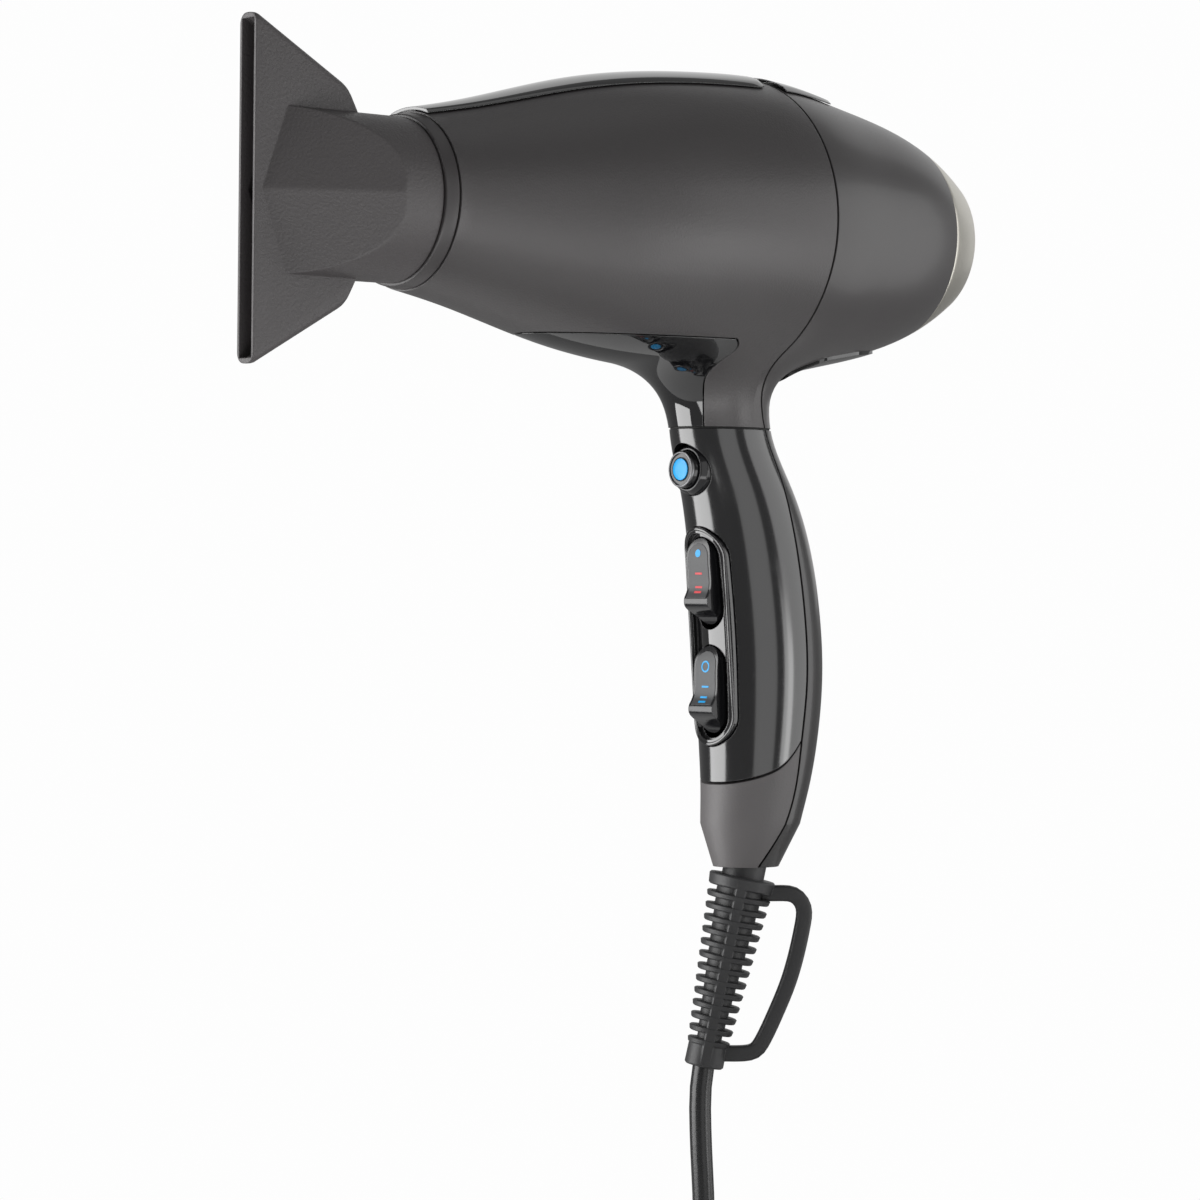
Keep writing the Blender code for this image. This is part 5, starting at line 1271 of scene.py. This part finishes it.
def make_cord():
    """The mains cord as one curve from the guard to the plug, coiled for storage and tied."""
    points = [Vector(p) * MM for p in cord_points()]
    curve = bpy.data.curves.new("mains_cord", "CURVE")
    curve.dimensions = "3D"
    curve.bevel_depth = CORD_RADIUS * MM
    curve.bevel_resolution = 6
    curve.use_fill_caps = True
    line = curve.splines.new("POLY")
    line.points.add(len(points) - 1)
    for slot, place in zip(line.points, points):
        slot.co = (*place, 1)
    line.use_smooth = True
    cord = bpy.data.objects.new("mains_cord", curve)
    bpy.context.scene.collection.objects.link(cord)
    placed_piece(cord, "cord_rubber", "dryer", ("cord_lead", "cord_coil", "cord_tail"))
    length = sum((b - a).length for a, b in zip(points, points[1:]))
    strap = [(-2.5, 10.55), (-2.5, 11.5), (-1.8, 11.8), (1.8, 11.8), (2.5, 11.5), (2.5, 10.55)]
    middle = (COIL_X, COIL_Y - 36.0, SURFACE_Z + 10.2)
    tie = turned("tie_strap", rounded_profile(strap, 0.25, 2), 64, middle)
    buckle = [(-3.4, 11.2), (-3.4, 13.2), (3.4, 13.2), (3.4, 11.2)]
    buckle = rounded_profile(buckle, 0.5, 3)
    rings = []
    for turn in np.linspace(math.radians(60), math.radians(120), 16):
        y, z = math.cos(turn), math.sin(turn)
        rings.append([(middle[0] + x, middle[1] + r * y, middle[2] + r * z) for x, r in buckle])
    tie = joined(tie, lofted("tie_buckle", rings))
    placed_piece(tie, "tie_rubber", "dryer", ("cord_tie",))
    return cord, length


def guard_radius(distance):
    return 10.0 + (5.9 - 10.0) * distance / GUARD_LENGTH


def make_guard():
    """The rubber cord guard: ribs between two spines, and the hanging loop beside it."""
    profile = [(-5.4, CORD_RADIUS + 0.2), (-5.4, 6.4), (0.9, 6.4), (0.9, guard_radius(0) - 0.4)]
    profile += [(1.4, guard_radius(0)), (4.2, guard_radius(4.2)), (4.6, guard_radius(4.6) - 0.4)]
    pitch = (GUARD_LENGTH - 8.6) / RIBS
    for n in range(RIBS):
        start = 4.6 + n * pitch
        core = guard_radius(start) - 2.7
        ends = (start + pitch * 0.5, start + pitch * 0.98)
        profile += [
            (start, core),
            (ends[0], core),
            (ends[0], guard_radius(start) - 0.35),
            (ends[0] + 0.3, guard_radius(start)),
            (ends[1] - 0.3, guard_radius(start + pitch)),
            (ends[1], guard_radius(start + pitch) - 0.35),
        ]
    end = GUARD_LENGTH + 2.4
    profile += [(end - 0.5, 5.9), (end, 5.4), (end, CORD_RADIUS + 0.2)]
    body = turned("cord_sleeve", profile, 72, tuple(GUARD_START), tuple(GUARD_ALONG), 30)
    across = GUARD_ALONG.cross(GUARD_SIDE)
    parts = []
    for side in (-1, 1):
        rings = []
        for distance in np.linspace(2.0, GUARD_LENGTH + 1.2, 24):
            inner, outer = CORD_RADIUS + 0.9, guard_radius(distance) - 0.05
            middle = GUARD_START + GUARD_ALONG * distance
            half = 1.7
            section = [(-half, inner), (-half, outer - 0.5), (-half + 0.4, outer - 0.1), (0, outer)]
            section += [(half - 0.4, outer - 0.1), (half, outer - 0.5), (half, inner)]
            rings.append([tuple(middle + across * u + GUARD_SIDE * side * v) for u, v in section])
        parts.append(lofted(f"guard_spine_{side}", rings))
    route = [
        (5.6, -73.9), (11.2, -73.8), (15.4, -74.4), (18.0, -77.5), (18.0, -83), (16.4, -91), (13.6, -101),
        (10.0, -110), (6.3, -118), (4.0, -121.0), (0.5, -121.9), (-4.1, -122.0), (-7.2, -122.0),
    ]
    places = [(GUARD_START.x + GUARD_OUT.x * out, GUARD_OUT.y * out, z) for out, z in route]
    section = rounded_profile([(-2.4, -2.2), (2.4, -2.2), (2.4, 2.2), (-2.4, 2.2)], 1.3, 4)
    parts.append(swept("hang_loop", route_through(places, 1.6), section, GUARD_SIDE))
    guard = joined(body, *parts)
    guard.name = "cord_guard_ribbed"
    placed_piece(guard, "guard_rubber", "dryer", ("cord_guard",))


def plug_ring(y, width, thickness, steps=18):
    radius = thickness / 2
    ring = []
    for half in (1, -1):
        for i in range(steps + 1):
            turn = -math.pi / 2 + math.pi * i / steps
            across = width / 2 - radius + radius * math.cos(turn)
            ring.append((TAIL_X + half * across, y, PLUG_Z + half * radius * math.sin(turn)))
    return ring


def make_plug():
    """The flat two-pin plug with its ribbed strain relief."""
    profile = [(0, 0), (0, 4.0)]
    for n in range(6):
        start = 1.5 + n * 3.2
        reach = 4.0 + 2.0 * start / PLUG_GUARD_LENGTH
        groove = reach - 0.9
        profile += [(start, reach), (start + 0.3, groove), (start + 1.4, groove), (start + 1.7, reach + 0.2)]
    profile += [(PLUG_GUARD_LENGTH - 0.6, 6.0), (PLUG_GUARD_LENGTH, 5.6), (PLUG_GUARD_LENGTH, 0)]
    relief = turned("plug_relief", profile, 48, (TAIL_X, PLUG_GUARD_START, PLUG_Z), (0, 1, 0))
    placed_piece(relief, "plug_rubber", "dryer", ("plug_guard",))
    width = smooth_curve([(0, 13.6), (5, 15.2), (12, 21.5), (24, 31), (32, 33.8), (34.5, 34), (36, 32.4)])
    depth = smooth_curve([(0, 10.8), (5, 12.0), (12, 12.9), (24, 13.6), (32, 13.7), (34.5, 13.6), (36, 12.2)])
    rings = [plug_ring(PLUG_START + y, float(width(y)), float(depth(y))) for y in np.linspace(0, 36, 40)]
    body = lofted("plug_shell", rings)
    grips = []
    for n in range(4):
        y = PLUG_START + 13 + n * 3.4
        for side in (-1, 1):
            reach = float(width(y - PLUG_START)) / 2
            low = TAIL_X + side * (reach - 0.9)
            high = TAIL_X + side * (reach + 2)
            outline = [(low, y - 0.6), (high, y - 0.9), (high, y + 0.9), (low, y + 0.6)]
            grips.append(prism_z(f"plug_groove_{n}_{side}", outline, PLUG_Z - 9, PLUG_Z + 9))
    shaped(body, *[("DIFFERENCE", groove) for groove in grips])
    placed_piece(body, "plug_rubber", "dryer", ("plug_body",))
    for side, word in ((-1, "left"), (1, "right")):
        centre = (TAIL_X + side * 9.5, PLUG_END, PLUG_Z)
        profile = [(GAP, 0), (GAP, 1.9), (10.0, 1.9), (10.15, 2.0)]
        profile += [(17.6, 2.0), (18.7, 1.4), (19.0, 0.8), (19.0, 0)]
        pin = turned(f"pin_{word}", profile, 40, centre, (0, 1, 0))
        placed_piece(pin, "brass", "dryer", (f"plug_pin_{word}",))


INNER = {
    "outlet_grille": "inner_plastic",
    "fan_duct": "inner_plastic",
    "motor_can": "steel",
    "motor_end_cap": "inner_plastic",
    "motor_shaft": "steel",
    "fan": "inner_plastic",
    "heater_tube": "mica",
    "heater_frame": "mica",
    "heater_coil_front": "heater_wire",
    "heater_coil_rear": "heater_wire",
    "thermostat": "steel",
    "thermal_fuse": "steel",
    "heat_switch_block": "inner_plastic",
    "speed_switch_block": "inner_plastic",
    "cool_shot_spring": "steel",
    "cool_shot_switch": "inner_plastic",
    "cord_clamp": "inner_plastic",
    "mains_wires": "wire_sleeve",
    "heater_wires": "wire_sleeve",
    "motor_wires": "wire_sleeve",
}


def finish_inside():
    """The frame's own inner pieces, each with a detailed finish."""
    for name, finish in INNER.items():
        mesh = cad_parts[name].data
        mesh.materials.clear()
        mesh.materials.append(FINISHES[finish])


# ---------------------------------------------------------------- stage

TARGET = Vector((-0.02, 0.0, 0.0135))
VIEW_AHEAD = Vector((0.6428, 0.7660, 0.0))
VIEW_RIGHT = Vector((0.7660, -0.6428, 0.0))
CAMERA_PLACE = Vector((-0.8566, -0.9508, 0.0135))


def card(name, right, nearer, up, width, height, watts):
    """A soft light set from the camera's side of the dryer and aimed at it."""
    data = bpy.data.lights.new(name, "AREA")
    data.shape = "RECTANGLE"
    data.size, data.size_y = width, height
    data.energy = watts
    made = bpy.data.objects.new(name, data)
    place = TARGET + VIEW_RIGHT * right - VIEW_AHEAD * nearer + Vector((0, 0, up))
    made.location = place
    made.rotation_euler = (TARGET - place).to_track_quat("-Z", "Y").to_euler()
    bpy.context.scene.collection.objects.link(made)
    return made


def make_stage():
    """Camera, lights, backdrop light and floor."""
    scene = bpy.context.scene
    settings = scene.dryer_stage
    camera = bpy.data.objects.new("camera", bpy.data.cameras.new("camera"))
    camera.data.lens = settings.lens
    camera.data.sensor_width = 36.0
    level = (VIEW_AHEAD).to_track_quat("-Z", "Y").to_matrix().to_4x4()
    camera.matrix_world = Matrix.Translation(CAMERA_PLACE) @ level @ Matrix.Rotation(settings.roll, 4, "Z")
    scene.collection.objects.link(camera)
    scene.camera = camera
    scene.view_settings.view_transform = "Standard"
    world = bpy.data.worlds.new("tent")
    world.use_nodes = True
    tree = world.node_tree
    glow = tree.nodes["Background"]
    seen = tree.nodes.new("ShaderNodeBackground")
    seen.inputs["Color"].default_value = (0.985, 0.985, 0.985, 1)
    glow.inputs["Color"].default_value = (1, 1, 1, 1)
    glow.inputs["Strength"].default_value = settings.ambient
    mix = tree.nodes.new("ShaderNodeMixShader")
    rays = tree.nodes.new("ShaderNodeLightPath")
    tree.links.new(rays.outputs["Is Camera Ray"], mix.inputs[0])
    tree.links.new(glow.outputs[0], mix.inputs[1])
    tree.links.new(seen.outputs[0], mix.inputs[2])
    tree.links.new(mix.outputs[0], tree.nodes["World Output"].inputs["Surface"])
    scene.world = world
    profile = [(-6, 0), (-6, 330), (-4, 336), (-1, 339), (0, 340), (0, 0)]
    floor = turned("floor", profile, 96, (20, -20, SURFACE_Z - 0.2), (0, 0, 1))
    paint = Paint("floor_paper")
    paint.colour(paint.mixed(paint.noise(0.002, 4.0), (0.86, 0.86, 0.86, 1), (0.9, 0.9, 0.895, 1)))
    paint.roughness(paint.noise(0.01) * 0.1 + 0.7)
    floor.data.materials.append(paint.material)
    cards = (
        ("low_front", 0.1, 0.75, -0.8, 1.2, 0.8, 11),
        ("left_wide", -1.0, 0.2, 0.0, 0.9, 1.3, 18),
        ("front_fill", 0.4, 0.8, 0.05, 0.6, 1.1, 1.8),
        ("right_low", 0.9, 0.42, -0.35, 0.3, 0.7, 1.8),
        ("far_right", 1.0, 0.0, 0.05, 1.0, 1.0, 4.4),
        ("overhead", 0.0, 0.1, 1.0, 0.9, 0.9, 0.8),
        ("behind", 0.2, -0.8, 0.4, 1.0, 0.8, 1.5),
    )
    for name, right, nearer, up, width, height, watts in cards:
        card(name, right, nearer, up, width, height, watts * settings.light)


# ---------------------------------------------------------------- operators


class DryerStageSettings(bpy.types.PropertyGroup):
    """How the dryer is seen and lit."""

    lens: FloatProperty(
        name="Lens", description="Focal length on a 36 mm sensor", default=127.9, subtype="DISTANCE_CAMERA"
    )
    roll: FloatProperty(
        name="Roll",
        description="Turn of the camera about its own view",
        default=math.radians(0.5727),
        subtype="ANGLE",
    )
    light: FloatProperty(
        name="Light",
        description="Strength of the soft lights",
        default=1.0,
        min=0.0,
        soft_max=4.0,
        subtype="FACTOR",
    )
    ambient: FloatProperty(
        name="Ambient",
        description="Strength of the light from all round",
        default=0.22,
        min=0.0,
        soft_max=2.0,
        subtype="FACTOR",
    )


class DryerColours(bpy.types.PropertyGroup):
    """Base colours that an owner may want to change."""

    housing: FloatVectorProperty(
        name="Housing",
        description="Base colour of the barrel",
        default=(0.06, 0.0565, 0.0572),
        min=0.0,
        max=1.0,
        subtype="COLOR",
    )
    nozzle: FloatVectorProperty(
        name="Nozzle",
        description="Base colour of the nozzle",
        default=(0.054, 0.0495, 0.0505),
        min=0.0,
        max=1.0,
        subtype="COLOR",
    )


class Dressing:
    """What the dryer's makers have in common."""

    bl_options = {"REGISTER", "UNDO"}

    @classmethod
    def poll(cls, context):
        return context.scene is not None


class DRYER_OT_stage(Dressing, bpy.types.Operator):
    """Set the camera, the soft lights and the floor"""

    bl_idname = "dryer.stage"
    bl_label = "Stage"

    def execute(self, context):
        make_stage()
        return {"FINISHED"}


class DRYER_OT_finishes(Dressing, bpy.types.Operator):
    """Mix the finishes of all the pieces"""

    bl_idname = "dryer.finishes"
    bl_label = "Finishes"

    def execute(self, context):
        make_finishes()
        return {"FINISHED"}


class DRYER_OT_cord(Dressing, bpy.types.Operator):
    """Lay the mains cord, its tie, its guard and its plug"""

    bl_idname = "dryer.cord"
    bl_label = "Cord, guard and plug"

    def execute(self, context):
        cord, length = make_cord()
        make_guard()
        make_plug()
        return {"FINISHED"}


class DRYER_OT_housing(Dressing, bpy.types.Operator):
    """Make the barrel, its gloss belly and its top strips"""

    bl_idname = "dryer.housing"
    bl_label = "Housing"

    def execute(self, context):
        make_housing()
        return {"FINISHED"}


class DRYER_OT_nozzle(Dressing, bpy.types.Operator):
    """Make the nozzle and the collar that it turns on"""

    bl_idname = "dryer.nozzle"
    bl_label = "Nozzle"

    def execute(self, context):
        make_nozzle()
        make_outlet()
        return {"FINISHED"}


class DRYER_OT_intake(Dressing, bpy.types.Operator):
    """Make the metal ring, the intake grille and the gauze"""

    bl_idname = "dryer.intake"
    bl_label = "Intake"

    def execute(self, context):
        make_intake()
        return {"FINISHED"}


class DRYER_OT_handle(Dressing, bpy.types.Operator):
    """Make the grip's mouldings and screws"""

    bl_idname = "dryer.handle"
    bl_label = "Handle"

    def execute(self, context):
        make_handle()
        return {"FINISHED"}


class DRYER_OT_switches(Dressing, bpy.types.Operator):
    """Make the rockers, their surround and the cool-shot button"""

    bl_idname = "dryer.switches"
    bl_label = "Switches and button"

    def execute(self, context):
        make_switches()
        make_button()
        return {"FINISHED"}


class DRYER_OT_inside(Dressing, bpy.types.Operator):
    """Finish the motor, fan, heater and wiring"""

    bl_idname = "dryer.inside"
    bl_label = "Inner pieces"

    def execute(self, context):
        finish_inside()
        return {"FINISHED"}


MAKE_ORDER = ("finishes", "stage", "cord", "housing", "nozzle", "intake", "handle", "switches", "inside")


class DRYER_PT_panel(bpy.types.Panel):
    """Lists the dryer's makers and settings"""

    bl_idname = "DRYER_PT_panel"
    bl_label = "Hair dryer"
    bl_space_type = "VIEW_3D"
    bl_region_type = "UI"
    bl_category = "Dryer"

    def draw(self, context):
        layout = self.layout
        for settings in (context.scene.dryer_stage, context.scene.dryer_colours):
            for name in settings.__annotations__:
                layout.prop(settings, name)
        for step in MAKE_ORDER:
            layout.operator(f"dryer.{step}")


CLASSES = (
    DryerStageSettings,
    DryerColours,
    DRYER_OT_finishes,
    DRYER_OT_stage,
    DRYER_OT_cord,
    DRYER_OT_housing,
    DRYER_OT_nozzle,
    DRYER_OT_intake,
    DRYER_OT_handle,
    DRYER_OT_switches,
    DRYER_OT_inside,
    DRYER_PT_panel,
)


def register():
    for kind in CLASSES:
        bpy.utils.register_class(kind)
    bpy.types.Scene.dryer_stage = PointerProperty(type=DryerStageSettings)
    bpy.types.Scene.dryer_colours = PointerProperty(type=DryerColours)


def unregister():
    del bpy.types.Scene.dryer_colours
    del bpy.types.Scene.dryer_stage
    for kind in reversed(CLASSES):
        bpy.utils.unregister_class(kind)


def main():
    register()
    for step in MAKE_ORDER:
        getattr(bpy.ops.dryer, step)()


if __name__ == "__main__":
    main()
